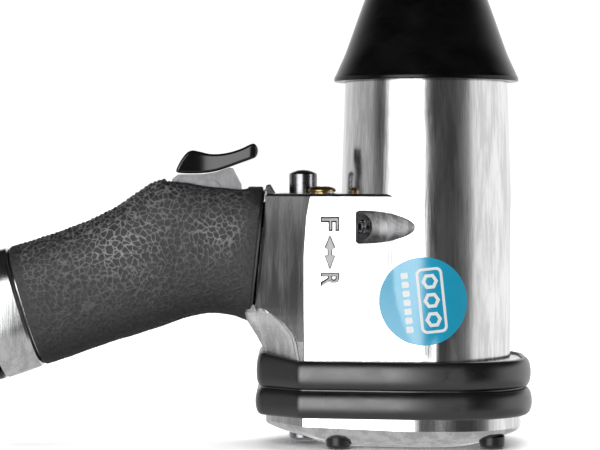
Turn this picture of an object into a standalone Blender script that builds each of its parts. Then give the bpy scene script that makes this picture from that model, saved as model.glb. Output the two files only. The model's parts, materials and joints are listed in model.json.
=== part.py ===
"""A pistol-grip air impact wrench, standing on its rear cover with the drive axis vertical.

Frame: +Z runs along the drive axis towards the square drive, -X towards the handle.
The origin is where the drive axis meets the flat pad of the rear cover.
Lengths below are in millimetres, and every mesh is scaled to metres as it is made.
"""

import math

import bmesh
import bpy
from mathutils import Matrix, Vector

MM = 0.001
GAP = 0.3          # between touching pieces
TURN = 2 * math.pi

# Drive axis: heights of the main joints
COVER_TOP = 14.0
HOUSING_REAR = 15.4
BUMPER_Z = (12.0, 33.0)
FLANGE_TOP = 32.3
SHOULDER_Z = 94.5
HOUSING_FRONT = 138.0
BOOT_Z = (136.7, 178.5)
NOSE_FRONT = 182.0
DRIVE_END = 205.5

# Bores of the main housing
MOTOR_BORE = 26.0
MOTOR_STOP = 70.8
HAMMER_BORE = 27.3
HAMMER_FLOOR = 72.4

# Reverse spool
SPOOL_X = -46.7
SPOOL_R = 5.3
SPOOL_Z = (0.5, 103.4)
SPOOL_TRAVEL = 6.0
BUSH_R = 8.2

# Trigger and throttle
PIVOT = (-86.0, 92.0)
STEM_X = -77.0
SLOT_X = (-98.2, -68.3)
SLOT_FLOOR = 83.5

# Handle: outer edges of the rubber, front edge and back edge, from the root to the foot
FRONT_EDGE = [(-61.5, 97.2), (-72, 97.2), (-84, 98.4), (-96, 100.3), (-104, 98.6), (-110.5, 94.3),
              (-119, 88.8), (-130, 83.6), (-144, 78.5), (-158, 74.4), (-173, 71)]
BACK_EDGE = [(-66.9, 45.5), (-73, 48.0), (-80, 49.0), (-88, 48.1), (-95, 45.9), (-101, 43.8),
             (-109, 41.2), (-119, 38.2), (-131, 34.0), (-144, 29.4), (-158.5, 24.3)]
HALF_WIDTH = [(18.0,), (17.8,), (17.5,), (17.3,), (17.2,), (17.1,), (17.0,), (17.0,), (17.3,),
              (17.8,), (18.2,)]
GRIP_WALL = 2.5
GRIP_END = 0.9     # share of the handle that the rubber covers
SQUARENESS = 2.6   # superellipse power of the handle's section

# Rear cover screws, seen from the rear
SCREW_PLACES = [(-33.6, -18.5), (-33.6, 18.5), (23.5, -18.5), (23.5, 18.5)]
SCREW_HEAD_R = 4.7
SCREW_HEAD = 4.3
SCREW_SHANK_R = 2.4

# name: (colour, metallic, roughness)
FINISHES = {
    "polished_aluminium": ((0.80, 0.80, 0.81), 1.0, 0.16),
    "black_plastic": ((0.012, 0.012, 0.013), 0.0, 0.25),
    "black_rubber": ((0.015, 0.015, 0.016), 0.0, 0.40),
    "grip_rubber": ((0.055, 0.056, 0.058), 0.0, 0.62),
    "dark_steel": ((0.18, 0.18, 0.20), 1.0, 0.14),
    "satin_steel": ((0.50, 0.50, 0.51), 1.0, 0.32),
    "black_oxide": ((0.02, 0.02, 0.021), 0.7, 0.35),
    "yellow_zinc": ((0.72, 0.52, 0.24), 1.0, 0.28),
    "bronze": ((0.55, 0.38, 0.20), 1.0, 0.35),
    "blue_label": ((0.01, 0.37, 0.62), 0.0, 0.25),
    "seal_rubber": ((0.02, 0.02, 0.02), 0.0, 0.55),
    "gasket_paper": ((0.10, 0.12, 0.10), 0.0, 0.85),
    "felt": ((0.30, 0.28, 0.25), 0.0, 0.95),
    "vane_composite": ((0.16, 0.09, 0.05), 0.0, 0.6),
}


# ---------------------------------------------------------------- helpers

def clear_scene():
    for obj in list(bpy.data.objects):
        bpy.data.objects.remove(obj, do_unlink=True)


def material(finish):
    made = bpy.data.materials.get(finish)
    if made:
        return made
    colour, metallic, roughness = FINISHES[finish]
    made = bpy.data.materials.new(finish)
    made.use_nodes = True
    shader = made.node_tree.nodes["Principled BSDF"]
    shader.inputs["Base Color"].default_value = (*colour, 1)
    shader.inputs["Metallic"].default_value = metallic
    shader.inputs["Roughness"].default_value = roughness
    made.diffuse_color = (*colour, 1)
    return made


def solid(name, points, faces, finish, matrix=None):
    """An object from points in millimetres, with its faces turned outwards."""
    mesh = bpy.data.meshes.new(name)
    place = matrix or Matrix()
    mesh.from_pydata([(place @ Vector(p)) * MM for p in points], [], faces)
    work = bmesh.new()
    work.from_mesh(mesh)
    bmesh.ops.recalc_face_normals(work, faces=work.faces)
    work.to_mesh(mesh)
    work.free()
    mesh.shade_smooth()
    mesh.set_sharp_from_angle(angle=math.radians(35))
    obj = bpy.data.objects.new(name, mesh)
    bpy.context.collection.objects.link(obj)
    if finish:
        mesh.materials.append(material(finish))
    return obj


def loft(name, rings, finish, ring_shaped=False, matrix=None):
    """Rings of equally many points, joined in order, with end caps unless the loft is ring-shaped."""
    count = len(rings[0])
    points = [p for ring in rings for p in ring]
    faces = []
    for k in range(len(rings) if ring_shaped else len(rings) - 1):
        a, b = k * count, (k + 1) % len(rings) * count
        for i in range(count):
            j = (i + 1) % count
            faces.append((a + i, a + j, b + j, b + i))
    if not ring_shaped:
        faces.append(tuple(range(count)))
        faces.append(tuple(reversed(range(len(points) - count, len(points)))))
    return solid(name, points, faces, finish, matrix)


def prism(name, outline, low, high, finish, matrix=None):
    return loft(name, [[(x, y, z) for x, y in outline] for z in (low, high)], finish, matrix=matrix)


def turned(name, profile, finish, segments=32, centre=(0, 0), matrix=None, phase=0.0):
    """A closed (radius, height) profile turned about a line parallel to Z."""
    points, rows, faces = [], [], []
    phase = phase or sum(r for r, _ in profile) * 0.173 % 0.4 + 0.1
    for r, z in profile:
        steps = segments if r > 0 else 1
        rows.append([len(points) + i for i in range(steps)])
        for i in range(steps):
            angle = TURN * (i + phase) / segments
            points.append((centre[0] + r * math.cos(angle), centre[1] + r * math.sin(angle), z))
    open_ended = profile[0][0] == 0 and profile[-1][0] == 0
    pairs = list(zip(rows, rows[1:])) + ([] if open_ended else [(rows[-1], rows[0])])
    for a, b in pairs:
        for i in range(segments):
            j = (i + 1) % segments
            corners = [a[i % len(a)], a[j % len(a)], b[j % len(b)], b[i % len(b)]]
            face = tuple(dict.fromkeys(corners))
            if len(face) > 2:
                faces.append(face)
    return solid(name, points, faces, finish, matrix)


def disc(name, radius, low, high, finish, centre=(0, 0), segments=24, chamfer=0.0, matrix=None):
    c = chamfer
    profile = [(0, low), (radius - c, low), (radius, low + c),
               (radius, high - c), (radius - c, high), (0, high)]
    if not c:
        profile = [(0, low), (radius, low), (radius, high), (0, high)]
    return turned(name, profile, finish, segments, centre, matrix)


def ring(name, inner, outer, low, high, finish, centre=(0, 0), segments=32, matrix=None):
    profile = [(inner, low), (outer, low), (outer, high), (inner, high)]
    return turned(name, profile, finish, segments, centre, matrix)


def rod(name, start, end, radius, finish=None, segments=20):
    """A cylinder between two points."""
    start, end = Vector(start), Vector(end)
    place = Matrix.Translation(start) @ (end - start).to_track_quat("Z", "Y").to_matrix().to_4x4()
    return disc(name, radius, 0, (end - start).length, finish, segments=segments, matrix=place)


def box(name, low, high, finish=None, matrix=None):
    outline = [(low[0], low[1]), (high[0], low[1]), (high[0], high[1]), (low[0], high[1])]
    return prism(name, outline, low[2], high[2], finish, matrix)


def boolean(target, operation, others):
    """One modifier for all the others together, so nothing is rounded between steps."""
    group = bpy.data.collections.new(f"{target.name}_{operation.lower()}")
    bpy.context.scene.collection.children.link(group)
    for other in others:
        other.hide_render = True
        other.display_type = "WIRE"
        bpy.context.collection.objects.unlink(other)
        group.objects.link(other)
    step = target.modifiers.new(group.name, "BOOLEAN")
    step.operation = operation
    step.operand_type = "COLLECTION"
    step.collection = group
    step.solver = "EXACT"
    return target


def cut(target, *cutters):
    return boolean(target, "DIFFERENCE", cutters)


def join(target, *others):
    return boolean(target, "UNION", others)


def rounded(corners, radii, steps):
    """A polygon with each corner replaced by an arc of steps + 1 points."""
    outline = []
    count = len(corners)
    for i, (corner, radius, n) in enumerate(zip(corners, radii, steps)):
        here = Vector(corner)
        back = (Vector(corners[i - 1]) - here).normalized()
        ahead = (Vector(corners[(i + 1) % count]) - here).normalized()
        half = math.acos(max(-1.0, min(1.0, back.dot(ahead)))) / 2
        centre = here + (back + ahead).normalized() * (radius / math.sin(half))
        first = here + back * (radius / math.tan(half)) - centre
        last = here + ahead * (radius / math.tan(half)) - centre
        sweep = first.angle_signed(last)
        for k in range(n + 1):
            turn = Matrix.Rotation(-sweep * k / n, 2)
            outline.append(tuple(centre + turn @ first))
    return outline


def spread(corners, distance):
    """A convex polygon, counter-clockwise, with every side moved outwards."""
    count = len(corners)
    moved = []
    for i in range(count):
        before, here, after = (Vector(corners[j % count]) for j in (i - 1, i, i + 1))
        side_a, side_b = (here - before).normalized(), (after - here).normalized()
        out_a, out_b = Vector((side_a.y, -side_a.x)), Vector((side_b.y, -side_b.x))
        moved.append(tuple(here + (out_a + out_b) * (distance / (1 + out_a.dot(out_b)))))
    return moved


def along(points, share):
    """The point at a share of the way along a Catmull-Rom curve through the points."""
    last = len(points) - 1
    k = min(int(share * last), last - 1)
    t = share * last - k
    p = [Vector(points[max(0, min(last, k + j))]) if len(points[0]) > 1
         else Vector((points[max(0, min(last, k + j))][0], 0)) for j in (-1, 0, 1, 2)]
    return 0.5 * (2 * p[1] + (p[2] - p[0]) * t + (2 * p[0] - 5 * p[1] + 4 * p[2] - p[3]) * t * t
                  + (3 * p[1] - p[0] - 3 * p[2] + p[3]) * t ** 3)


# ---------------------------------------------------------------- shared shapes

FLANGE = [(35.5, -33.6), (35.5, 33.6), (-6, 33.4), (-47, 27.3), (-61, 15), (-61, -15), (-47, -27.3),
          (-6, -33.4)]
FLANGE_RADII = [27, 27, 40, 5, 7, 7, 5, 40]
FLANGE_STEPS = [6, 6, 2, 2, 3, 3, 2, 2]


def flange_outline(distance=0.0):
    """The rear joint's outline: round over the motor, straight sides, narrowing to the handle."""
    radii = [r + distance for r in FLANGE_RADII]
    return rounded(spread(FLANGE, distance), radii, FLANGE_STEPS)


def body_radius(z):
    """Outside radius of the housing's round part, with its casting draft."""
    if z > SHOULDER_Z:
        return 32.1 - 1.4 * (z - SHOULDER_Z) / (HOUSING_FRONT - SHOULDER_Z)
    return 31.9 + 0.2 * max(0.0, z - 36) / (SHOULDER_Z - 36)


# The flat side reaches round onto the barrel near its foot, as far as this edge
FLAT_END = 4.65
BLEND_END = 12.5


def side_plane(x, z):
    """Half thickness of the housing's flat side, which narrows towards the handle."""
    slope = 0.076 + 0.028 * min(1.0, max(0.0, (60 - z) / 20))
    return 27.38 - 0.8 * (z - 17) / (SHOULDER_Z - 17) + slope * (x + 46.3)


def corner_x(z):
    """Where the flat side turns into the facet, which swings forward near the shoulder."""
    if z > 86:
        return -45.4 + 1.5 * (z - 86) / 8.5
    return -46.3 + 0.9 * max(0.0, z - 72) / 14


def side_depth(x, z):
    """Half thickness of the housing at x, where the barrel, the flat side and the blend between them meet."""
    barrel = math.sqrt(max(0.0, body_radius(z) ** 2 - x ** 2))
    flat, edge = side_plane(x, z), side_plane(FLAT_END, z)
    blend = edge + (29.2 - edge) * (x - FLAT_END) / (BLEND_END - FLAT_END)
    return max(barrel, -0.5 * math.log(math.exp(-flat / 0.5) + math.exp(-blend / 0.5)))


def handle_section(share, inset, points=24, shift=0.0):
    """A ring round the handle in the plane through its front and back edges."""
    front, back = along(FRONT_EDGE, share), along(BACK_EDGE, share)
    width = along(HALF_WIDTH, share).x - inset
    middle, reach = (front + back) / 2, (front - back) / 2
    reach = reach.normalized() * (reach.length - inset)
    section = []
    for i in range(points):
        c, s = math.cos(TURN * i / points), math.sin(TURN * i / points)
        u = math.copysign(abs(c) ** (2 / SQUARENESS), c)
        v = math.copysign(abs(s) ** (2 / SQUARENESS), s)
        section.append((middle.x + reach.x * u + shift, width * v, middle.y + reach.y * u))
    return section


def foot_frame():
    """Local frame of the handle's end: x towards the front edge, y across, z out of the handle."""
    front, back = Vector(FRONT_EDGE[-1]), Vector(BACK_EDGE[-1])
    middle, up = (front + back) / 2, (front - back).normalized()
    x_axis, y_axis = Vector((up.x, 0, up.y)), Vector((0, 1, 0))
    z_axis = x_axis.cross(y_axis)
    frame = Matrix((x_axis, y_axis, z_axis)).transposed().to_4x4()
    frame.translation = (middle.x, 0, middle.y)
    return frame


FOOT = foot_frame()
INLET_AT = 10.0      # from the middle of the foot towards its front edge
EXHAUST_AT = -12.0
EXHAUST_R = 7.0


def foot_point(x, y, z):
    return FOOT @ Vector((x, y, z))


# ---------------------------------------------------------------- main housing

def lower_body():
    """The block under the shoulder: two flat sides, two facets and the slanted face that the grip meets."""
    heights = [17, 33, 36, 39, 42, 44, 45.8, 60, 72, 86, 93.3, SHOULDER_Z]
    ends = [-60.5, -61.0, -61.5, -62.4, -63.7, -65.0, -66.0, -64.6, -63.4, -61.9, -61.1, -60.9]
    widths = [14.0, 13.8, 13.5, 13.0, 12.5, 12.1, 11.8, 15.0, 15.6, 14.6, 13.6, 12.6]
    rings = []
    for z, end, width in zip(heights, ends, widths):
        bevel = 1.2 if z == SHOULDER_Z else 0.0
        corner = corner_x(z)
        half = [(end, -width), (corner, bevel - side_plane(corner, z)),
                (FLAT_END, bevel - side_plane(FLAT_END, z)), (BLEND_END, -29.2)]
        corners = half + [(x, -y) for x, y in reversed(half)]
        end_r = 4 if z < 50 else 1.8
        outline = rounded(corners, [end_r, 3, 12, 1, 1, 12, 3, end_r], [3, 3, 4, 1, 1, 4, 3, 3])
        rings.append([(x, y, z) for x, y in outline])
    return loft("block", rings, None)


def handle_core():
    """The casting inside the grip, with its full-width foot."""
    inner = GRIP_WALL + GAP
    shares = [0.04, 0.1, 0.2, 0.3, 0.4, 0.5, 0.62, 0.76, GRIP_END + 0.006]
    rings = [handle_section(0.0, inner + 6.5, shift=12), handle_section(0.0, inner + 2.8)]
    rings += [handle_section(s, inner) for s in shares]
    rings += [handle_section(s, inset) for s, inset in ((GRIP_END + 0.008, 0.2), (0.985, 0.0), (1.0, 0.8))]
    return loft("core", rings, None)


def housing_cutters():
    """Bores, passages, slots and screw holes of the main housing."""
    pieces = [
        disc("motor_bore", MOTOR_BORE, 10, MOTOR_STOP, None, segments=32),
        disc("shaft_hole", 13.5, 65, 80, None, segments=20),
        disc("hammer_bore", HAMMER_BORE, HAMMER_FLOOR, 150, None, segments=36),
        disc("bush_bore", BUSH_R + GAP, 10, 90, None, (SPOOL_X, 0), 20),
        disc("spool_hole", SPOOL_R + 0.6, 85, 110, None, (SPOOL_X, 0), 16),
        disc("retainer_hole", 2.1, 80, 110, None, RETAINER_SCREW, 12),
        prism("plate_recess", retainer_outline(0.5), 92.9, 110, None),
        box("trigger_slot", (SLOT_X[0], -5.7, SLOT_FLOOR), (SLOT_X[1], 5.7, 110)),
        rod("pin_hole", (PIVOT[0], -25, PIVOT[1]), (PIVOT[0], 25, PIVOT[1]), 1.9, segments=12),
        disc("valve_chamber", 6.1, 61.2, 90, None, (STEM_X, 0), 20),
        rod("supply_to_spool", (STEM_X, 0, 76.8), (-50, 0, 76.8), 3.4, segments=12),
        rod("exhaust_from_spool", (-104, 0, 54.5), (-50, 0, 56.4), 3.3, segments=12),
        rod("forward_port", (-50, 0, 38), (-20, 0, 38), 4.0, segments=12),
        rod("reverse_port", (-50, 0, 57), (-20, 0, 57), 4.0, segments=12),
        rod("inlet_seat", foot_point(INLET_AT, 0, -17), foot_point(INLET_AT, 0, 5), 9.0, segments=24),
        rod("inlet_bore", foot_point(INLET_AT, 0, -62), foot_point(INLET_AT, 0, -15), 6.6, segments=16),
        rod("inlet_to_valve", (-110, 0, 75), (-76, 0, 66.5), 4.4, segments=12),
        rod("exhaust_bore", foot_point(EXHAUST_AT, 0, -66), foot_point(EXHAUST_AT, 0, 5), EXHAUST_R,
            segments=20),
        pocket_scoop(),
        half_ball("pocket_dimple", DIMPLE_CENTRE, DIMPLE_R),
        rod("oil_hole", OIL_CENTRE - OIL_AXIS * 12, OIL_CENTRE + OIL_AXIS * 3, 2.7, segments=12),
    ]
    for k, place in enumerate(SCREW_PLACES):
        pieces.append(disc(f"thread_{k + 1}", SCREW_SHANK_R + 0.3, 10, 31, None, place, 12))
    return pieces


# Scooped pocket on the left side, with a round dimple and the oil hole at its deep end
POCKET_Z = 82.3
POCKET_X = (-27.3, -6.0)
POCKET_HALF = 6.15
DIMPLE_CENTRE = (-26.6, -25.2, POCKET_Z)
DIMPLE_R = 5.4
OIL_CENTRE = Vector((-24.2, -21.0, POCKET_Z))
OIL_AXIS = Vector((0.77, -0.64, 0)).normalized()


def pocket_section(x, depth, half, steps=8):
    """A half-round section of the scoop at x, open to the outside."""
    surface = side_depth(x, POCKET_Z)
    section = [(x, -surface - 3, POCKET_Z + half)]
    for k in range(steps + 1):
        a = math.pi * k / steps
        section.append((x, depth * math.sin(a) - surface, POCKET_Z + half * math.cos(a)))
    return section + [(x, -surface - 3, POCKET_Z - half)]


def pocket_scoop(stations=10, steps=8):
    start, end = POCKET_X
    rings = [pocket_section(start, 0.35, POCKET_HALF - 0.7, steps)]
    for k in range(stations):
        t = 0.05 + 0.935 * (1 - (1 - k / (stations - 1)) ** 1.6)
        x = start + (end - start) * t
        floor = max(24.6, 31.5 - (end - x) * 0.62)
        rings.append(pocket_section(x, max(0.15, side_depth(x, POCKET_Z) - floor),
                                    POCKET_HALF * (1 - t ** 2.2) ** 0.55, steps))
    return loft("pocket", rings, None)


def half_ball(name, centre, radius, steps=6, segments=16):
    """The half of a ball that lies towards +X."""
    rings = []
    for k in range(steps):
        reach = radius * (0.02 + 0.97 * math.sin(math.pi / 2 * k / (steps - 1)))
        across = math.sqrt(radius ** 2 - reach ** 2)
        rings.append([(centre[0] + reach, centre[1] + across * math.cos(a), centre[2] + across * math.sin(a))
                      for a in (TURN * (i + 0.3) / segments for i in range(segments))])
    return loft(name, rings, None)


# Retainer of the reverse spool
RETAINER_SCREW = (-39.6, -9.5)
PLATE = [(-55.5, -3.5), (-46.5, -15.2), (-35, -15.2), (-34, -6), (-38.5, 4), (-46, 8.5), (-55.5, 5.5)]


def retainer_outline(distance=0.0):
    return rounded(spread(PLATE, distance), [2.5 + distance] * len(PLATE), [2] * len(PLATE))


def make_main_housing():
    profile = [(0, 17), (body_radius(17), 17), (body_radius(36), 36), (body_radius(SHOULDER_Z), SHOULDER_Z),
               (body_radius(HOUSING_FRONT), HOUSING_FRONT), (0, HOUSING_FRONT)]
    barrel = turned("barrel", profile, None, 48)
    lip = prism("grip_lip", rounded([(-61.2, -11), (-57.2, -10), (-57.2, 10), (-61.2, 11)], [1] * 4, [2] * 4),
                92, 97.4, None)
    housing = prism("main_housing", flange_outline(), HOUSING_REAR, FLANGE_TOP, "polished_aluminium")
    join(housing, barrel, lower_body(), handle_core(), lip)
    cut(housing, *housing_cutters())


def make_rear_cover():
    """The cover's rear face is a shallow dome that rises towards the handle."""
    steps = [(0.2, COVER_TOP, 0.0), (0.2, 7.3, 0.6), (3.4, 4.7, 0.6), (8.0, 2.4, 0.75), (12.5, 1.0, 0.8)]
    rings = []
    for inset, z, share in steps:
        ring_points = []
        for x, y in flange_outline(-inset) if inset < 4 else shrunk_flange(inset):
            rise = 0.0019 * max(0.0, -x - 12) ** 2
            ring_points.append((x, y, z + rise * share))
        rings.append(ring_points)
    rings.append([(x * 0.72, y * 0.72, 0.0) for x, y, _ in rings[-1]])
    cover = loft("rear_cover", rings, "polished_aluminium")
    cutters = [
        disc("cover_hollow", 22, 7.5, 20, None, segments=28),
        disc("cover_spool_hole", SPOOL_R + 0.6, -5, 20, None, (SPOOL_X, 0)),
    ]
    for k, place in enumerate(SCREW_PLACES):
        cutters.append(disc(f"head_seat_{k + 1}", SCREW_HEAD_R + 0.4, -5, SCREW_HEAD + GAP, None, place, 16))
        cutters.append(disc(f"screw_way_{k + 1}", SCREW_SHANK_R + 0.3, 0, 20, None, place, 12))
    cut(cover, *cutters)


def shrunk_flange(inset):
    """The flange outline drawn in by more than its small corner radii allow."""
    outline = flange_outline(-3.4)
    middle = Vector((-10.0, 0.0))
    share = 1 - (inset - 3.4) / 34
    return [tuple(middle + (Vector(p) - middle) * share) for p in outline]


def make_rear_gasket():
    gasket = prism("rear_gasket", flange_outline(-0.6), COVER_TOP + GAP, HOUSING_REAR - GAP, "gasket_paper")
    cutters = [disc("gasket_bore", MOTOR_BORE + 0.3, 0, 20, None, segments=28),
               disc("gasket_spool", BUSH_R + 0.5, 0, 20, None, (SPOOL_X, 0), 16)]
    for k, place in enumerate(SCREW_PLACES):
        cutters.append(disc(f"gasket_screw_{k + 1}", SCREW_SHANK_R + 0.5, 0, 20, None, place, 10))
    cut(gasket, *cutters)


def make_bumper():
    """Rubber guard round the rear joint, with two rounded ribs."""
    low, high = BUMPER_Z
    notch = 22.3
    outer = [(0.9, low), (2.7, low + 1.0), (3.6, low + 4.0), (2.9, notch - 1.1), (1.9, notch),
             (2.5, notch + 1.1), (3.1, notch + 4.0), (2.4, high - 1.1), (0.9, high)]
    profile = outer + [(0.35, high), (0.35, low)]
    rings = [[(x, y, z) for x, y in flange_outline(distance)] for distance, z in profile]
    loft("rubber_bumper", rings, "black_rubber", ring_shaped=True)


def make_cover_screws():
    for k, place in enumerate(SCREW_PLACES):
        profile = [(0, 0), (SCREW_HEAD_R - 0.8, 0), (SCREW_HEAD_R, 0.8), (SCREW_HEAD_R, SCREW_HEAD),
                   (SCREW_SHANK_R, SCREW_HEAD), (SCREW_SHANK_R, 29.4), (SCREW_SHANK_R - 0.6, 30), (0, 30)]
        screw = turned(f"cover_screw_{k + 1}", profile, "black_oxide", 16, place)
        cut(screw, disc(f"hex_{k + 1}", 2.6, -1, 2.6, None, place, 6))


# ---------------------------------------------------------------- nose

def make_nose():
    r, front = 30.6, HOUSING_FRONT + GAP
    profile = [(13, 125.6), (26.6, 125.6), (26.6, HOUSING_FRONT - 0.4), (26.6, front), (r, front), (r, 144.6),
               (24.0, 150), (16.4, 178), (16.4, NOSE_FRONT - 1), (15.4, NOSE_FRONT), (12.6, NOSE_FRONT),
                (12.6, 134),
               (13, 133)]
    turned("nose_housing", profile, "satin_steel", 30)
    boot = [(34.9, BOOT_Z[0]), (34.7, BOOT_Z[0] + 1.2), (30.6, 147.8), (26.6, 158.4), (20.3, 176.0),
            (19.0, 178.1), (16.75, BOOT_Z[1]), (16.75, 177.2), (24.5, 150.2), (31.0, 145.0),
             (31.0, BOOT_Z[0])]
    turned("nose_boot", boot, "black_plastic", 36)
    ring("anvil_bushing", 9.95, 12.3, 135, 176, "bronze", segments=28)
    seal = [(9.9, 176.5), (12.3, 176.5), (12.3, 181), (11.2, 181.4), (10.6, 180.4), (9.9, 180)]
    turned("anvil_seal", seal, "seal_rubber", 24)


def make_anvil():
    half = 6.35
    square = rounded([(-half, -half), (half, -half), (half, half), (-half, half)], [1.4] * 4, [2] * 4)
    shaft = [(0, 81), (9, 81), (9, 112.6), (11.8, 113), (11.8, 120.4), (16, 120.8), (16, 124.6), (9.5, 125),
             (9.5, 184), (8.6, 185.2), (0, 185.2)]
    anvil = turned("anvil", shaft, "satin_steel", 24)
    neck = disc("drive_neck", 4.9, 190, 203, None, segments=16)
    lower = prism("drive_square", square, 183, 196.4, None)
    tip_rings = [[(x * s, y * s, z) for x, y in square]
                 for s, z in ((1, 200.0), (1, 204.6), (0.86, DRIVE_END))]
    upper = loft("drive_tip", tip_rings, None)
    lugs = []
    for name, low, turn in (("rear_lug", 82, 0.0), ("front_lug", 98, math.pi)):
        shape = rounded([(5, -4), (10.9, -3.1), (10.9, 3.1), (5, 4)], [0.8] * 4, [2] * 4)
        lugs.append(prism(name, shape, low, low + 13, None, Matrix.Rotation(turn + math.pi / 2, 4, "Z")))
    join(anvil, neck, lower, upper, *lugs)
    ring("drive_o_ring", 5.15, 5.75, 197.3, 199.1, "seal_rubber", segments=20)
    clip = []
    start, steps = math.radians(20), 22
    for radius, order in ((7.1, range(steps + 1)), (6.0, range(steps, -1, -1))):
        for k in order:
            angle = start + (TURN - 2 * start) * k / steps
            clip.append((radius * math.cos(angle), radius * math.sin(angle)))
    prism("socket_retaining_ring", clip, 197.0, 199.4, "satin_steel")


# ---------------------------------------------------------------- twin hammer clutch

PIN_AT = 17.4
PIN_R = 3.0


def spline(radius, depth, teeth=6):
    outline = []
    for k in range(teeth):
        for share, r in ((0.0, radius), (0.3, radius), (0.5, radius - depth), (0.8, radius - depth)):
            angle = TURN * (k + share) / teeth
            outline.append((r * math.cos(angle), r * math.sin(angle)))
    return outline


def make_hammer_cage():
    cage = turned("hammer_cage", [(0, 73), (25, 73), (26, 74), (26, 80.4), (0, 80.4)], "satin_steel", 28)
    front = ring("cage_front", 12.4, 26, 112.8, 119.6, None, segments=28)
    struts = []
    for side, middle in (("left", -90), ("right", 90)):
        outline = []
        for radius, order in ((25.6, range(5)), (23.4, range(4, -1, -1))):
            for k in order:
                angle = math.radians(middle - 30 + 15 * k)
                outline.append((radius * math.cos(angle), radius * math.sin(angle)))
        struts.append(prism(f"strut_{side}", outline, 78, 116, None))
    join(cage, front, *struts)
    cut(cage, prism("spline_way", spline(7.4, 1.0), 70, 90, None, Matrix.Rotation(0.13, 4, "Z")),
        disc("pin_seat_1", PIN_R + 0.3, 76, 125, None, (PIN_AT, 0), 16),
        disc("pin_seat_2", PIN_R + 0.3, 76, 125, None, (-PIN_AT, 0), 16))
    for k, x in enumerate((PIN_AT, -PIN_AT)):
        disc(f"hammer_pin_{k + 1}", PIN_R, 76.5, 119, "satin_steel", (x, 0), 16, chamfer=0.5)


def make_hammers():
    """Each hammer hangs on one pin and is notched round the other, so that it can rock."""
    for name, low, pin in (("rear_hammer", 81.2, PIN_AT), ("front_hammer", 97.2, -PIN_AT)):
        high = low + 15
        band = [(13.2, low), (21.5, low), (21.5, high), (13.2, high)]
        hammer = turned(name, band, "satin_steel", 28, phase=0.37)
        notch = rounded([(-9, -6.6), (9, -6.6), (9, 6.6), (-9, 6.6)], [1] * 4, [2] * 4)
        away = Matrix.Translation((-pin * 1.1 - math.copysign(1.0, pin) * 0.4, 0, 0))
        side = math.radians(-42 if pin > 0 else 138)
        jaw = rounded([(14.5, -3.4), (14.5, 3.4), (10.8, 2.8), (10.8, -2.8)], [0.6] * 4, [1] * 4)
        join(hammer, prism(f"{name}_jaw", jaw, low + 0.5, high - 0.5, None, Matrix.Rotation(side, 4, "Z")))
        cut(hammer, disc(f"{name}_pivot", PIN_R + 0.25, low - 2, high + 2, None, (pin, 0), 16),
            prism(f"{name}_notch", notch, low - 2, high + 2, None, away))


# ---------------------------------------------------------------- air motor

BORE_OFFSET = 2.0
MOTOR_R = 25.6
VANES = 6


def make_motor():
    make_end_plate("rear_end_plate", 15.9, 24.0, (15.8, 21.9))
    make_end_plate("front_end_plate", 62.3, 70.5, (64.4, 70.6))
    make_bearing("rear_bearing", 16.1, 21.6)
    make_bearing("front_bearing", 64.7, 70.2)
    cylinder = ring("motor_cylinder", 15, MOTOR_R, 24.3, 62.0, "satin_steel", segments=32)
    cutters = [disc("eccentric_bore", 21.3, 20, 70, None, (BORE_OFFSET, 0), 32),
               disc("dowel_hole", 1.8, 20, 70, None, DOWEL, 10),
               box("forward_slot", (-30, -4, 35), (-15, 4, 41)),
               box("reverse_slot", (-30, -4, 54), (-15, 4, 60))]
    cut(cylinder, *cutters)
    disc("motor_dowel", 1.5, 17.5, 69.5, "satin_steel", DOWEL, 10)
    make_rotor()


DOWEL = (-19.9, 11.5)


def make_end_plate(name, low, high, seat):
    plate = ring(name, 6.4, MOTOR_R, low, high, "satin_steel", segments=32)
    bottom = seat[0] - 0.2 if seat[0] < low else seat[0]
    cut(plate, disc(f"{name}_seat", 11.3, bottom, seat[1], None, segments=20),
        disc(f"{name}_dowel", 1.8, 17, 70, None, DOWEL, 10))


def make_bearing(name, low, high):
    """Outer and inner race with the cage between them, drawn as one grooved ring."""
    profile = [(5.3, low), (7.4, low), (7.6, low + 0.7), (9.0, low + 0.7), (9.2, low), (11.0, low),
               (11.0, high), (9.2, high), (9.0, high - 0.7), (7.6, high - 0.7), (7.4, high), (5.3, high)]
    turned(name, profile, "dark_steel", 18)


def make_rotor():
    radius, root, half = 18.6, 9.6, 0.95
    outline = []
    for k in range(VANES):
        turn = Matrix.Rotation(TURN * k / VANES, 2)
        edge = math.asin(half / radius)
        outer = radius * math.cos(edge)
        for x, y in ((outer, -half), (root, -half), (root, half), (outer, half)):
            outline.append(tuple(turn @ Vector((x, y))))
        for j in range(1, 3):
            angle = edge + (TURN / VANES - 2 * edge) * j / 3
            outline.append(tuple(turn @ Vector((radius * math.cos(angle), radius * math.sin(angle)))))
    rotor = prism("rotor", outline, 24.9, 61.4, "satin_steel")
    shaft = turned("rotor_shaft", [(0, 15.2), (4.4, 15.2), (4.9, 15.7), (4.9, 71.6), (0, 71.6)], None, 24)
    drive = prism("rotor_spline", spline(6.9, 1.0), 70.5, 80.2, None, Matrix.Rotation(0.13, 4, "Z"))
    join(rotor, shaft, drive)
    for k in range(VANES):
        box(f"vane_{k + 1}", (10.0, -0.65, 25.1), (18.3, 0.65, 61.2), "vane_composite",
            Matrix.Rotation(TURN * k / VANES, 4, "Z"))


# ---------------------------------------------------------------- reverse valve

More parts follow.
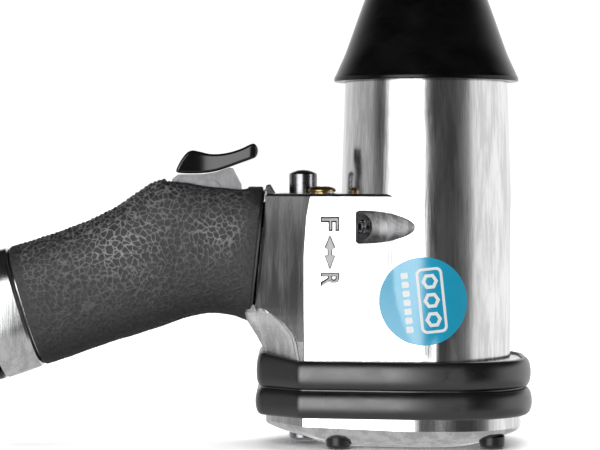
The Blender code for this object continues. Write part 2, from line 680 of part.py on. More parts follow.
def make_reverse_valve():
    bush = ring("reverse_bushing", SPOOL_R + 0.35, BUSH_R, 16.0, 89.7, "bronze", (SPOOL_X, 0), 20)
    ports = []
    for k, z in enumerate((38, 57)):
        ports.append(box(f"motor_port_{k + 1}", (SPOOL_X + 2, -3, z - 3), (SPOOL_X + 12, 3, z + 3)))
    for k, z in enumerate((56.4, 76.8)):
        ports.append(box(f"handle_port_{k + 1}", (SPOOL_X - 12, -2.6, z - 2.6), (SPOOL_X - 2, 2.6, z + 2.6)))
    cut(bush, *ports)
    low, high = SPOOL_Z
    waist = 3.4
    profile = [(0, low), (SPOOL_R - 1.3, low), (SPOOL_R, low + 1.3)]
    for a, b, r in ((21.0, 22.9, 4.2), (32, 50, waist), (60, 73, waist), (82.6, 84.5, 4.2)):
        profile += [(SPOOL_R, a), (r, a), (r, b), (SPOOL_R, b)]
    profile += [(SPOOL_R, high - 1.9), (SPOOL_R - 0.9, high - 1.0), (SPOOL_R - 2.8, high - 0.2), (0, high)]
    turned("reverse_spool", profile, "dark_steel", 18, (SPOOL_X, 0))
    ring("spool_o_ring_rear", 4.3, SPOOL_R + 0.1, 21.2, 22.7, "seal_rubber", (SPOOL_X, 0), 16)
    ring("spool_o_ring_front", 4.3, SPOOL_R + 0.1, 82.8, 84.3, "seal_rubber", (SPOOL_X, 0), 16)
    plate = prism("spool_retainer", retainer_outline(), 93.2, 94.0, "satin_steel")
    cut(plate, disc("retainer_spool_way", SPOOL_R + 0.5, 90, 96, None, (SPOOL_X, 0), 20),
        disc("retainer_screw_way", 2.3, 90, 96, None, RETAINER_SCREW, 12))
    ring("retainer_washer", 2.4, 4.6, 94.2, 94.9, "yellow_zinc", RETAINER_SCREW, 20)
    x, y = RETAINER_SCREW
    head = [(0, 83), (1.9, 83), (1.9, 95.1), (5.1, 95.1), (5.2, 95.7), (4.5, 96.6), (3.0, 97.1), (0, 97.3)]
    screw = turned("retainer_screw", head, "yellow_zinc", 20, RETAINER_SCREW)
    cut(screw, box("screw_slot", (x - 0.8, y - 8, 95.9), (x + 0.8, y + 8, 99)))


# ---------------------------------------------------------------- trigger and throttle

PAD = [(-94.4, 103.1), (-92.5, 107.6), (-90.3, 110.1), (-88.3, 110.7), (-84.3, 109.8), (-79.5, 109.4),
       (-74.7, 110.0), (-69.9, 111.6), (-65.8, 113.3), (-64.3, 112.4), (-63.8, 110.2), (-64.9, 108.0),
       (-69.9, 106.4), (-74.7, 104.5), (-79.5, 102.9), (-84.3, 102.1), (-89.5, 102.0), (-93.6, 102.3)]
LEVER = [(-96.2, 99.9), (-94.0, 101.6), (-89.5, 101.7), (-84.3, 101.8), (-79.5, 102.6), (-74.6, 104.2),
         (-73.4, 103.9), (-70.2, 97.8), (-69.8, 92), (-71.2, 87), (-92.5, 87), (-95.8, 92)]


def side_shape(name, outline, half, finish):
    """An outline in the XZ plane given a width across Y."""
    place = Matrix.Rotation(math.pi / 2, 4, "X")
    return prism(name, outline, -half, half, finish, place)


def make_trigger():
    pad = side_shape("trigger_pad", PAD, 8.5, "black_plastic")
    for vertex in pad.data.vertices:
        x = vertex.co.x / MM
        narrow = 1.7 - 0.15 * (-86 - x) if x < -86 else 1.7 * max(0.0, -67 - x) / 19
        narrow += 0.06 * max(0.0, x + 67) ** 2
        vertex.co.y *= 1 - min(3.4, narrow) / 8.5
    soften = pad.modifiers.new("soften", "BEVEL")
    soften.width = 1.1 * MM
    soften.segments = 2
    soften.limit_method = "ANGLE"
    soften.angle_limit = math.radians(50)
    lever = side_shape("trigger_lever", LEVER, 4.9, "satin_steel")
    cut(lever, rod("lever_hole", (PIVOT[0], -9, PIVOT[1]), (PIVOT[0], 9, PIVOT[1]), 2.0, segments=16))
    rod("trigger_pin", (PIVOT[0], -9.0, PIVOT[1]), (PIVOT[0], 9.0, PIVOT[1]), 1.65, "satin_steel", 12)


def make_throttle():
    at = (STEM_X, 0)
    disc("throttle_stem", 2.3, 70.5, 86.5, "satin_steel", at, 16, chamfer=0.4)
    ring("stem_bush", 2.7, 5.8, 80.3, 83.2, "bronze", at, 20)
    ring("throttle_seat", 3.3, 5.8, 70.6, 73.4, "bronze", at, 20)
    poppet = [(0, 66.8), (2.4, 66.8), (4.6, 68.2), (4.6, 69.6), (3.9, 70.25), (0, 70.25)]
    turned("throttle_valve", poppet, "seal_rubber", 20, at)
    make_spring("throttle_spring", at, 61.6, 66.5, 3.0, 0.45, 3)


def make_spring(name, centre, low, high, radius, wire, turns):
    """A round wire wound up from low to high."""
    steps, sides = 12 * turns, 6
    climb = high - low - 2 * wire
    rings = []
    for k in range(steps + 1):
        angle = TURN * turns * k / steps
        z = low + wire + climb * k / steps
        section = []
        for j in range(sides):
            a = TURN * j / sides
            r = radius + wire * math.cos(a)
            section.append((centre[0] + r * math.cos(angle), centre[1] + r * math.sin(angle),
                            z + wire * math.sin(a)))
        rings.append(section)
    loft(name, rings, "satin_steel")


# ---------------------------------------------------------------- handle fittings

def make_grip():
    shares = [0.0, 0.1, 0.2, 0.3, 0.4, 0.5, 0.6, 0.75, GRIP_END]
    outer = [handle_section(s, 0.0) for s in shares]
    inner = [handle_section(s, GRIP_WALL) for s in reversed(shares)]
    grip = loft("rubber_grip", outer + inner, "grip_rubber", ring_shaped=True)
    low, high = SLOT_X[0] - 0.9, SLOT_X[1] + 0.9
    opening = rounded([(low, -7.2), (high, -7.2), (high, 7.2), (low, 7.2)],
                      [2.5] * 4, [3] * 4)
    cut(grip, prism("grip_opening", opening, 84, 112, None))


def foot_outline(inset):
    front, back = Vector(FRONT_EDGE[-1]), Vector(BACK_EDGE[-1])
    deep, wide = (front - back).length / 2 - inset, HALF_WIDTH[-1][0] - inset
    outline = []
    for i in range(28):
        c, s = math.cos(TURN * i / 28), math.sin(TURN * i / 28)
        outline.append((deep * math.copysign(abs(c) ** (2 / SQUARENESS), c),
                        wide * math.copysign(abs(s) ** (2 / SQUARENESS), s)))
    return outline


def make_foot_fittings():
    deflector = loft("exhaust_deflector",
                     [[(x, y, z) for x, y in foot_outline(inset)]
                      for inset, z in ((0.8, 0.3), (0.4, 1.2), (0.6, 4.4), (1.8, 5.4))],
                     "black_plastic", matrix=FOOT)
    cutters = [turned("bushing_way", [(0, -3), (9.1, -3), (9.1, 9), (0, 9)], None, 24, (INLET_AT, 0), FOOT)]
    for k in range(4):
        x = EXHAUST_AT - 5.1 + 3.4 * k
        slot = rounded([(x - 0.9, -5.5), (x + 0.9, -5.5), (x + 0.9, 5.5), (x - 0.9, 5.5)], [0.6] * 4, [1] * 4)
        cutters.append(prism(f"louvre_{k + 1}", slot, -3, 9, None, FOOT))
    cut(deflector, *cutters)
    bushing = [(5.6, -14), (8.0, -14), (8.6, -13.4), (8.6, -7.4), (7.4, -7.4), (7.4, -5.2), (8.6, -5.2),
               (8.6, 5.9),
               (5.6, 5.9)]
    inlet = turned("inlet_bushing", bushing, "satin_steel", 20, (INLET_AT, 0), FOOT)
    hexagon = [(INLET_AT + 11 * math.cos(TURN * k / 6), 11 * math.sin(TURN * k / 6)) for k in range(6)]
    head = prism("inlet_hexagon", hexagon, 5.7, 11.5, None, FOOT)
    cut(head, turned("hexagon_bore", [(0, 2), (5.6, 2), (5.6, 14), (0, 14)], None, 20, (INLET_AT, 0), FOOT))
    join(inlet, head)
    turned("inlet_o_ring", [(7.5, -7.2), (8.75, -7.2), (8.75, -5.4), (7.5, -5.4)], "seal_rubber", 20,
           (INLET_AT, 0), FOOT)
    cup = [(0, -15.8), (8.5, -15.8), (8.5, -14.4), (7.2, -14.4), (7.2, -15.0), (0, -15.0)]
    screen = turned("inlet_screen", cup,
                    "bronze", 20, (INLET_AT, 0), FOOT)
    holes = [(3.8 * math.cos(TURN * k / 5), 3.8 * math.sin(TURN * k / 5)) for k in range(5)]
    cut(screen, *[turned(f"screen_hole_{k + 1}", [(0, -18), (1.6, -18), (1.6, -12), (0, -12)], None, 6,
                         (INLET_AT + x, y), FOOT) for k, (x, y) in enumerate(holes)])
    muffler = [(2.6, -0.6), (EXHAUST_R - 0.3, -0.6), (EXHAUST_R - 0.3, -14), (0, -14), (0, -11), (2.6, -11)]
    muffler = [(0, -14), (EXHAUST_R - 0.3, -14), (EXHAUST_R - 0.3, -0.6), (2.6, -0.6), (2.6, -11), (0, -11)]
    turned("exhaust_muffler", muffler, "felt", 20, (EXHAUST_AT, 0), FOOT)


# ---------------------------------------------------------------- small pieces on the side

BADGE_CENTRE = (-2.7, 55.2)
BADGE_R = 16.2


def make_badge():
    """A thin round label that follows the curve of the housing's left side."""
    spokes, rows = 36, 5
    layers = []
    for lift in (0.3, 0.7):
        layer = []
        for k in range(1, rows + 1):
            for i in range(spokes):
                angle = TURN * i / spokes
                x = BADGE_CENTRE[0] + BADGE_R * k / rows * math.cos(angle)
                z = BADGE_CENTRE[1] + BADGE_R * k / rows * math.sin(angle)
                layer.append((x, -side_depth(x, z) - lift, z))
        x, z = BADGE_CENTRE
        layer.append((x, -side_depth(x, z) - lift, z))
        layers.append(layer)
    count = len(layers[0])
    faces = []
    for base in (0, count):
        for k in range(rows - 1):
            for i in range(spokes):
                j = (i + 1) % spokes
                faces.append((base + k * spokes + i, base + k * spokes + j,
                              base + (k + 1) * spokes + j, base + (k + 1) * spokes + i))
        faces += [(base + count - 1, base + i, base + (i + 1) % spokes) for i in range(spokes)]
    rim = (rows - 1) * spokes
    faces += [(rim + i, rim + (i + 1) % spokes, count + rim + (i + 1) % spokes, count + rim + i)
              for i in range(spokes)]
    solid("badge", layers[0] + layers[1], faces, "blue_label")


def make_oil_screw():
    screw = rod("oil_port_screw", OIL_CENTRE - OIL_AXIS * 10, OIL_CENTRE - OIL_AXIS * 2, 2.4,
                 "dark_steel", 12)
    start = OIL_CENTRE - OIL_AXIS * 4
    cut(screw, rod("oil_hex", start, start + OIL_AXIS * 5, 1.3, segments=6))


def main():
    clear_scene()
    make_main_housing()
    make_rear_cover()
    make_rear_gasket()
    make_bumper()
    make_cover_screws()
    make_nose()
    make_anvil()
    make_hammer_cage()
    make_hammers()
    make_motor()
    make_reverse_valve()
    make_trigger()
    make_throttle()
    make_grip()
    make_foot_fittings()
    make_badge()
    make_oil_screw()


main()
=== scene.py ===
import json
import math

import bmesh
import bpy
import numpy as np
from mathutils import Matrix, Vector


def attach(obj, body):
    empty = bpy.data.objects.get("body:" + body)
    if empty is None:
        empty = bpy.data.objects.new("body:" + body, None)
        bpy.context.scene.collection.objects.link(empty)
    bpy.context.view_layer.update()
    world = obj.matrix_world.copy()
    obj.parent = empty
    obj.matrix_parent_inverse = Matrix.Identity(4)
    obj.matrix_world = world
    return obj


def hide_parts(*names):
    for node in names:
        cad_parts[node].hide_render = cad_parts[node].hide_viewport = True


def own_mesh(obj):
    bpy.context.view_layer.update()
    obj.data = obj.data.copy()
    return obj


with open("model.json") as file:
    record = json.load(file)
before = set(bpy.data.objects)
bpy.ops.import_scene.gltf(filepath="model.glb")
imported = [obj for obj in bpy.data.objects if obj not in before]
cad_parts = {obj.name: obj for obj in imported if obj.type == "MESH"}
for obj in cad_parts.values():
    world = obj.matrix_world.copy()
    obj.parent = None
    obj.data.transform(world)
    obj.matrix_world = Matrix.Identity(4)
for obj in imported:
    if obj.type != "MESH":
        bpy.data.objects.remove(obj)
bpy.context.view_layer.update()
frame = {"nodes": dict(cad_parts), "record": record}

NODES = frame["nodes"]
SCENE = bpy.context.scene
MM = 0.001
TURN = 2 * math.pi
GAP = 0.3
EVEN = (1, 1, 1)
CAST_SHARP = 14

# ---------------------------------------------------------------- drive axis, in millimetres
COVER_TOP = 14.0
HOUSING_REAR = 15.4
BUMPER_Z = (12.0, 33.0)
FLANGE_TOP = 32.3
SHOULDER_Z = 94.5
HOUSING_FRONT = 138.0
MOTOR_BORE, MOTOR_STOP = 26.0, 70.8
HAMMER_BORE, HAMMER_FLOOR = 27.3, 72.4
SPOOL_X, SPOOL_R, BUSH_R = -46.7, 5.3, 8.2
PIVOT = (-86.0, 92.0)
STEM_X = -77.0
SLOT_X = (-98.2, -68.3)
SLOT_FLOOR = 83.5
SCREW_PLACES = [(-33.6, -18.5), (-33.6, 18.5), (23.5, -18.5), (23.5, 18.5)]
SCREW_HEAD_R, SCREW_HEAD, SCREW_SHANK_R = 4.7, 4.3, 2.4
RETAINER_SCREW = (-39.6, -9.5)
PLATE = [(-55.5, -3.5), (-46.5, -15.2), (-35, -15.2), (-34, -6), (-38.5, 4), (-46, 8.5), (-55.5, 5.5)]

FRONT_EDGE = [(-61.5, 97.2), (-72, 97.2), (-84, 98.4), (-96, 100.3), (-104, 98.6), (-110.5, 94.3),
              (-119, 88.8), (-130, 83.6), (-144, 78.5), (-158, 74.4), (-173, 71)]
BACK_EDGE = [(-66.9, 45.5), (-73, 48.0), (-80, 49.0), (-88, 48.1), (-95, 45.9), (-101, 43.8),
             (-109, 41.2), (-119, 38.2), (-131, 34.0), (-144, 29.4), (-158.5, 24.3)]
HALF_WIDTH = [18.0, 17.8, 17.5, 17.3, 17.2, 17.1, 17.0, 17.0, 17.3, 17.8, 18.2]
GRIP_WALL, GRIP_START, GRIP_END = 2.5, 0.0065, 0.9
SQUARENESS = 2.6

FLANGE = [(35.5, -33.6), (35.5, 33.6), (-6, 33.4), (-47, 27.3), (-61, 15), (-61, -15), (-47, -27.3),
          (-6, -33.4)]
FLANGE_RADII = [27, 27, 40, 2, 7, 7, 2, 40]
FLANGE_STEPS = [26, 26, 8, 6, 8, 8, 6, 8]

POCKET_Z, POCKET_X, POCKET_HALF = 82.3, (-27.3, -5.6), 6.15
DIMPLE_CENTRE, DIMPLE_R = (-26.6, -25.2, POCKET_Z), 5.4
OIL_CENTRE = Vector((-24.2, -21.0, POCKET_Z))
OIL_AXIS = Vector((0.77, -0.64, 0)).normalized()
FLAT_END, BLEND_END, BLEND_DEPTH = 4.65, 12.5, 29.2
ROOT_CENTRE = (-64.5, 34.6)
BADGE_CENTRE, BADGE_R = (-2.7, 55.2), 16.2
MARK_FOOT, MARK_TALL, MARK_WIDE = -40.0, 6.25, 4.4
ARROW_MIDDLE = (-36.9, 73.0)


# ---------------------------------------------------------------- mesh helpers

def solid(name, points, faces, matrix=None, sharp=20):
    """A mesh object from points in millimetres, faces outwards, smooth but for edges over the sharp angle."""
    mesh = bpy.data.meshes.new(name)
    if matrix:
        points = [matrix @ Vector(p) for p in points]
    mesh.from_pydata([(p[0] * MM, p[1] * MM, p[2] * MM) for p in points], [], faces)
    return shaded(linked(name, faces_out(mesh)), sharp)


def linked(name, mesh):
    obj = bpy.data.objects.new(name, mesh)
    SCENE.collection.objects.link(obj)
    return obj


def shaded(obj, sharp=20):
    obj.data.shade_smooth()
    obj.data.set_sharp_from_angle(angle=math.radians(sharp))
    return obj


def ring_faces(count, rings, closed):
    faces = []
    for k in range(rings if closed else rings - 1):
        a, b = k * count, (k + 1) % rings * count
        faces += [(a + i, a + (i + 1) % count, b + (i + 1) % count, b + i) for i in range(count)]
    return faces


def loft(name, rings, ring_shaped=False, matrix=None, sharp=20):
    count = len(rings[0])
    points = [p for ring in rings for p in ring]
    faces = ring_faces(count, len(rings), ring_shaped)
    if not ring_shaped:
        faces += [tuple(range(count)), tuple(reversed(range(len(points) - count, len(points))))]
    return solid(name, points, faces, matrix, sharp)


def prism(name, outline, low, high, matrix=None, sharp=20):
    return loft(name, [[(x, y, z) for x, y in outline] for z in (low, high)], matrix=matrix, sharp=sharp)


def turned(name, profile, segments=96, centre=(0, 0), matrix=None, sharp=20):
    """A (radius, height) profile turned about a line parallel to Z."""
    points, rows, faces = [], [], []
    phase = sum(r for r, _ in profile) * 0.173 % 0.4 + 0.1
    for r, z in profile:
        steps = segments if r > 0 else 1
        rows.append([len(points) + i for i in range(steps)])
        for i in range(steps):
            angle = TURN * (i + phase) / segments
            points.append((centre[0] + r * math.cos(angle), centre[1] + r * math.sin(angle), z))
    open_ended = profile[0][0] == 0 and profile[-1][0] == 0
    for a, b in list(zip(rows, rows[1:])) + ([] if open_ended else [(rows[-1], rows[0])]):
        for i in range(segments):
            j = (i + 1) % segments
            face = tuple(dict.fromkeys((a[i % len(a)], a[j % len(a)], b[j % len(b)], b[i % len(b)])))
            if len(face) > 2:
                faces.append(face)
    return solid(name, points, faces, matrix, sharp)


def disc(name, radius, low, high, centre=(0, 0), segments=48, matrix=None):
    return turned(name, [(0, low), (radius, low), (radius, high), (0, high)], segments, centre, matrix)


def rod(name, start, end, radius, segments=48):
    start, end = Vector(start), Vector(end)
    place = Matrix.Translation(start) @ (end - start).to_track_quat("Z", "Y").to_matrix().to_4x4()
    return disc(name, radius, 0, (end - start).length, segments=segments, matrix=place)


def faces_out(mesh, weld=None):
    """Turns a mesh's faces outwards, after joining points nearer than the weld distance."""
    work = bmesh.new()
    work.from_mesh(mesh)
    if weld:
        bmesh.ops.remove_doubles(work, verts=work.verts, dist=weld)
    bmesh.ops.recalc_face_normals(work, faces=work.faces)
    work.to_mesh(mesh)
    work.free()
    return mesh


def sliced(work, positions):
    """Cuts the faces across at each position along X."""
    for x in positions:
        everything = work.verts[:] + work.edges[:] + work.faces[:]
        bmesh.ops.bisect_plane(work, geom=everything, plane_co=(x, 0, 0), plane_no=(1, 0, 0))


def box(name, low, high):
    outline = [(low[0], low[1]), (high[0], low[1]), (high[0], high[1]), (low[0], high[1])]
    return prism(name, outline, low[2], high[2])


def boolean(target, operation, others, sharp=20):
    """Joins or cuts the target with the others, one after another, and drops them."""
    for other in others:
        step = target.modifiers.new("step", "BOOLEAN")
        step.operation = operation
        step.object = other
        step.solver = "MANIFOLD"
    applied(target)
    for other in others:
        bpy.data.objects.remove(other, do_unlink=True)
    return shaded(target, sharp)


def applied(obj):
    """Bakes the modifiers into the mesh."""
    evaluated = obj.evaluated_get(bpy.context.evaluated_depsgraph_get())
    mesh = bpy.data.meshes.new_from_object(evaluated)
    obj.modifiers.clear()
    obj.data = mesh
    return obj


def cut(target, *cutters, sharp=20):
    return boolean(target, "DIFFERENCE", cutters, sharp)


def join(target, *others, sharp=20):
    return boolean(target, "UNION", others, sharp)


def softened(obj, width, segments=3, angle=30):
    """Rounds the edges sharper than the angle."""
    bevel = obj.modifiers.new("soften", "BEVEL")
    bevel.width = width * MM
    bevel.segments = segments
    bevel.limit_method = "ANGLE"
    bevel.angle_limit = math.radians(angle)
    return shaded(applied(obj), 25)


def rounded(corners, radii, steps):
    """A polygon with each corner replaced by an arc."""
    outline = []
    count = len(corners)
    for i, (corner, radius, n) in enumerate(zip(corners, radii, steps)):
        here = Vector(corner)
        back = (Vector(corners[i - 1]) - here).normalized()
        ahead = (Vector(corners[(i + 1) % count]) - here).normalized()
        half = math.acos(max(-1.0, min(1.0, back.dot(ahead)))) / 2
        centre = here + (back + ahead).normalized() * (radius / math.sin(half))
        first = here + back * (radius / math.tan(half)) - centre
        last = here + ahead * (radius / math.tan(half)) - centre
        sweep = first.angle_signed(last)
        for k in range(n + 1):
            outline.append(tuple(centre + Matrix.Rotation(-sweep * k / n, 2) @ first))
    return outline


def spread(corners, distance):
    """A convex counter-clockwise polygon with every side moved outwards."""
    count = len(corners)
    moved = []
    for i in range(count):
        before, here, after = (Vector(corners[j % count]) for j in (i - 1, i, i + 1))
        side_a, side_b = (here - before).normalized(), (after - here).normalized()
        out_a, out_b = Vector((side_a.y, -side_a.x)), Vector((side_b.y, -side_b.x))
        moved.append(tuple(here + (out_a + out_b) * (distance / (1 + out_a.dot(out_b)))))
    return moved


def curve_between(four, t):
    """The Catmull-Rom point at a share t of the way from the second to the third of four points."""
    a, b, c, d = (np.array(point, float) for point in four)
    return 0.5 * (2 * b + (c - a) * t + (2 * a - 5 * b + 4 * c - d) * t * t
                  + (3 * b - a - 3 * c + d) * t ** 3)


def curve_through(points, share):
    """The point at a share of the way along a Catmull-Rom curve through the points."""
    last = len(points) - 1
    k = min(int(share * last), last - 1)
    return curve_between([points[max(0, min(last, k + j))] for j in (-1, 0, 1, 2)], share * last - k)


def dense(points, count):
    return [tuple(curve_through(points, k / (count - 1))) for k in range(count)]


def smooth_closed(points, per_side):
    """A closed Catmull-Rom outline through the points."""
    n = len(points)
    return [tuple(curve_between([points[(i + j) % n] for j in (-1, 0, 1, 2)], k / per_side))
            for i in range(n) for k in range(per_side)]


def inset_outline(outline, distance):
    """Moves each point of a closed outline inwards along its local normal."""
    after = outline[1:] + outline[:1]
    area = sum(a[0] * b[1] - b[0] * a[1] for a, b in zip(outline, after))
    side = 1 if area > 0 else -1
    moved = []
    for i, (x, y) in enumerate(outline):
        tangent = (Vector(after[i]) - Vector(outline[i - 1])).normalized()
        moved.append((x - tangent.y * distance * side, y + tangent.x * distance * side))
    return moved


def slab(name, outline, half, radius, matrix=None, steps=6, sharp=20):
    """An outline given a width across its plane, with both rims rounded."""
    rings = []
    for side in (-1, 1):
        order = range(steps + 1) if side < 0 else range(steps, -1, -1)
        for k in order:
            a = math.pi / 2 * k / steps
            inset, z = radius * (1 - math.sin(a)), half - radius + radius * math.cos(a)
            rings.append([(x, y, side * z) for x, y in inset_outline(outline, inset)])
    return loft(name, rings, matrix=matrix, sharp=sharp)


UPRIGHT = Matrix.Rotation(math.pi / 2, 4, "X")     # an outline drawn in x and y stands up in x and z


def piece(obj, body, slot, material, *replaced):
    """Hands a finished object over to the frame."""
    obj.data.materials.clear()
    for finish in material if isinstance(material, list) else [material]:
        obj.data.materials.append(finish)
    weigh = obj.modifiers.new("weigh", "WEIGHTED_NORMAL")
    weigh.keep_sharp = True
    weigh.weight = 60
    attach(obj, body)
    if replaced:
        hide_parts(*replaced)
    return obj


# ---------------------------------------------------------------- materials

def node_material(name):
    made = bpy.data.materials.new(name)
    made.use_nodes = True
    return made, made.node_tree.nodes, made.node_tree.links, made.node_tree.nodes["Principled BSDF"]


def noise(nodes, links, scale, stretch=EVEN, detail=4.0, rough=0.55, distortion=0.0):
    """A noise texture in metres of the object's own space."""
    place = nodes.new("ShaderNodeTexCoord")
    mapping = nodes.new("ShaderNodeMapping")
    mapping.inputs["Scale"].default_value = stretch
    texture = nodes.new("ShaderNodeTexNoise")
    texture.inputs["Scale"].default_value = scale
    texture.inputs["Detail"].default_value = detail
    texture.inputs["Roughness"].default_value = rough
    texture.inputs["Distortion"].default_value = distortion
    links.new(place.outputs["Object"], mapping.inputs["Vector"])
    links.new(mapping.outputs["Vector"], texture.inputs["Vector"])
    return texture.outputs["Fac"]


def ranged(nodes, links, value, low, high, start=0.3, end=0.7):
    node = nodes.new("ShaderNodeMapRange")
    node.inputs["From Min"].default_value = start
    node.inputs["From Max"].default_value = end
    node.inputs["To Min"].default_value = low
    node.inputs["To Max"].default_value = high
    links.new(value, node.inputs["Value"])
    return node.outputs["Result"]


def feed(links, socket, value):
    """Links an output to the socket, or sets the socket to a number or a colour."""
    if isinstance(value, bpy.types.NodeSocket):
        links.new(value, socket)
    else:
        socket.default_value = (*value, 1) if isinstance(value, tuple) else value


def blended(nodes, links, value, first, second):
    """A colour between two, by a value from 0 to 1."""
    node = nodes.new("ShaderNodeMix")
    node.data_type = "RGBA"
    for name, given in (("A", first), ("B", second), ("Factor", value)):
        feed(links, node.inputs[name], given)
    return node.outputs["Result"]


def bumped(nodes, links, shader, layers):
    """Chains bump layers of (height, strength, distance in millimetres) into the shader."""
    normal = None
    for height, strength, distance in layers:
        bump = nodes.new("ShaderNodeBump")
        bump.inputs["Strength"].default_value = strength
        bump.inputs["Distance"].default_value = distance * MM
        links.new(height, bump.inputs["Height"])
        if normal:
            links.new(normal, bump.inputs["Normal"])
        normal = bump.outputs["Normal"]
    links.new(normal, shader.inputs["Normal"])


def shader_math(nodes, links, operation, *values):
    node = nodes.new("ShaderNodeMath")
    node.operation = operation
    for socket, value in zip(node.inputs, values):
        feed(links, socket, value)
    return node.outputs[0]


def metal(name, colour, rough, streak=EVEN, streak_scale=900, streak_bump=0.012, wave=0.0, dirt=0.12,
          turning=0.0):
    """Polished or machined metal: directional marks, patchy polish and slow waves."""
    made, nodes, links, shader = node_material(name)
    marks = noise(nodes, links, streak_scale, streak, 5.0, 0.65)
    patches = noise(nodes, links, 230, (1, 1, 0.13), 5.0, 0.60)
    darker = tuple(c * (1 - dirt) for c in colour)
    mixed = shader_math(nodes, links, "MULTIPLY_ADD", marks, 0.5, ranged(nodes, links, patches, 0.0, 0.5))
    colours = blended(nodes, links, ranged(nodes, links, mixed, 0, 1, 0.38, 0.60), darker, colour)
    gloss = ranged(nodes, links, mixed, rough * 0.75, rough * 1.35, 0.25, 0.75)
    links.new(colours, shader.inputs["Base Color"])
    links.new(gloss, shader.inputs["Roughness"])
    shader.inputs["Metallic"].default_value = 1.0
    layers = [(marks, 1.0, streak_bump)]
    if wave:
        layers.append((noise(nodes, links, 70, (1, 1, 0.22), 2.0, 0.5), 1.0, wave))
    if turning:
        layers.append((noise(nodes, links, 2600, (0.03, 0.03, 1), 2.0, 0.5), 1.0, turning))
    bumped(nodes, links, shader, layers)
    return made


def polymer(name, colour, rough, grain_scale=1500, grain=0.02, spec=0.5, coat=0.0, wear=1.35, sheen=0.0):
    """Moulded plastic or rubber: fine grain, faint handling marks and uneven gloss."""
    made, nodes, links, shader = node_material(name)
    grains = noise(nodes, links, grain_scale, EVEN, 3.0, 0.6)
    smears = noise(nodes, links, 90, (1, 1, 1.6), 5.0, 0.6, 0.4)
    lighter = tuple(min(1.0, c * wear + 0.002) for c in colour)
    colours = blended(nodes, links, ranged(nodes, links, smears, 0, 1), colour, lighter)
    links.new(colours, shader.inputs["Base Color"])
    links.new(ranged(nodes, links, smears, rough * 0.8, rough * 1.3), shader.inputs["Roughness"])
    for socket, value in (("Specular IOR Level", spec), ("Coat Weight", coat), ("Coat Roughness", rough),
                          ("Sheen Weight", sheen)):
        shader.inputs[socket].default_value = value
    bumped(nodes, links, shader, [(grains, 1.0, grain)])
    return made


def grip_material():
    """Dark rubber whose pale veins, with painted light on them, and painted shade come from the sleeve's own
    point attributes.
    """
    made, nodes, links, shader = node_material("grip_rubber_textured")
    vein = nodes.new("ShaderNodeAttribute")
    vein.attribute_name = "vein"
    painted_shade = nodes.new("ShaderNodeAttribute")
    painted_shade.attribute_name = "painted_shade"
    patches = ranged(nodes, links, noise(nodes, links, 40, EVEN, 3.0, 0.5), 0.35, 1.0)
    leather = ranged(nodes, links, noise(nodes, links, 620, (1, 1, 1.5), 4.0, 0.75), 0.04, 0.20)
    # The vein attribute carries painted light as well as the veins themselves.
    strength = shader_math(nodes, links, "MULTIPLY", vein.outputs["Fac"], patches)
    strength = shader_math(nodes, links, "ADD", strength, leather)
    # Painted shade from the sleeve's points darkens the colour.
    strength = shader_math(nodes, links, "SUBTRACT", strength, painted_shade.outputs["Fac"])
    colours = blended(nodes, links, strength, (0.011, 0.011, 0.012), (0.29, 0.29, 0.295))
    links.new(colours, shader.inputs["Base Color"])
    links.new(ranged(nodes, links, vein.outputs["Fac"], 0.58, 0.42, 0, 1), shader.inputs["Roughness"])
    shader.inputs["Specular IOR Level"].default_value = 0.5
    bumped(nodes, links, shader, [(noise(nodes, links, 2600, EVEN, 3.0, 0.6), 1.0, 0.03)])
    return made


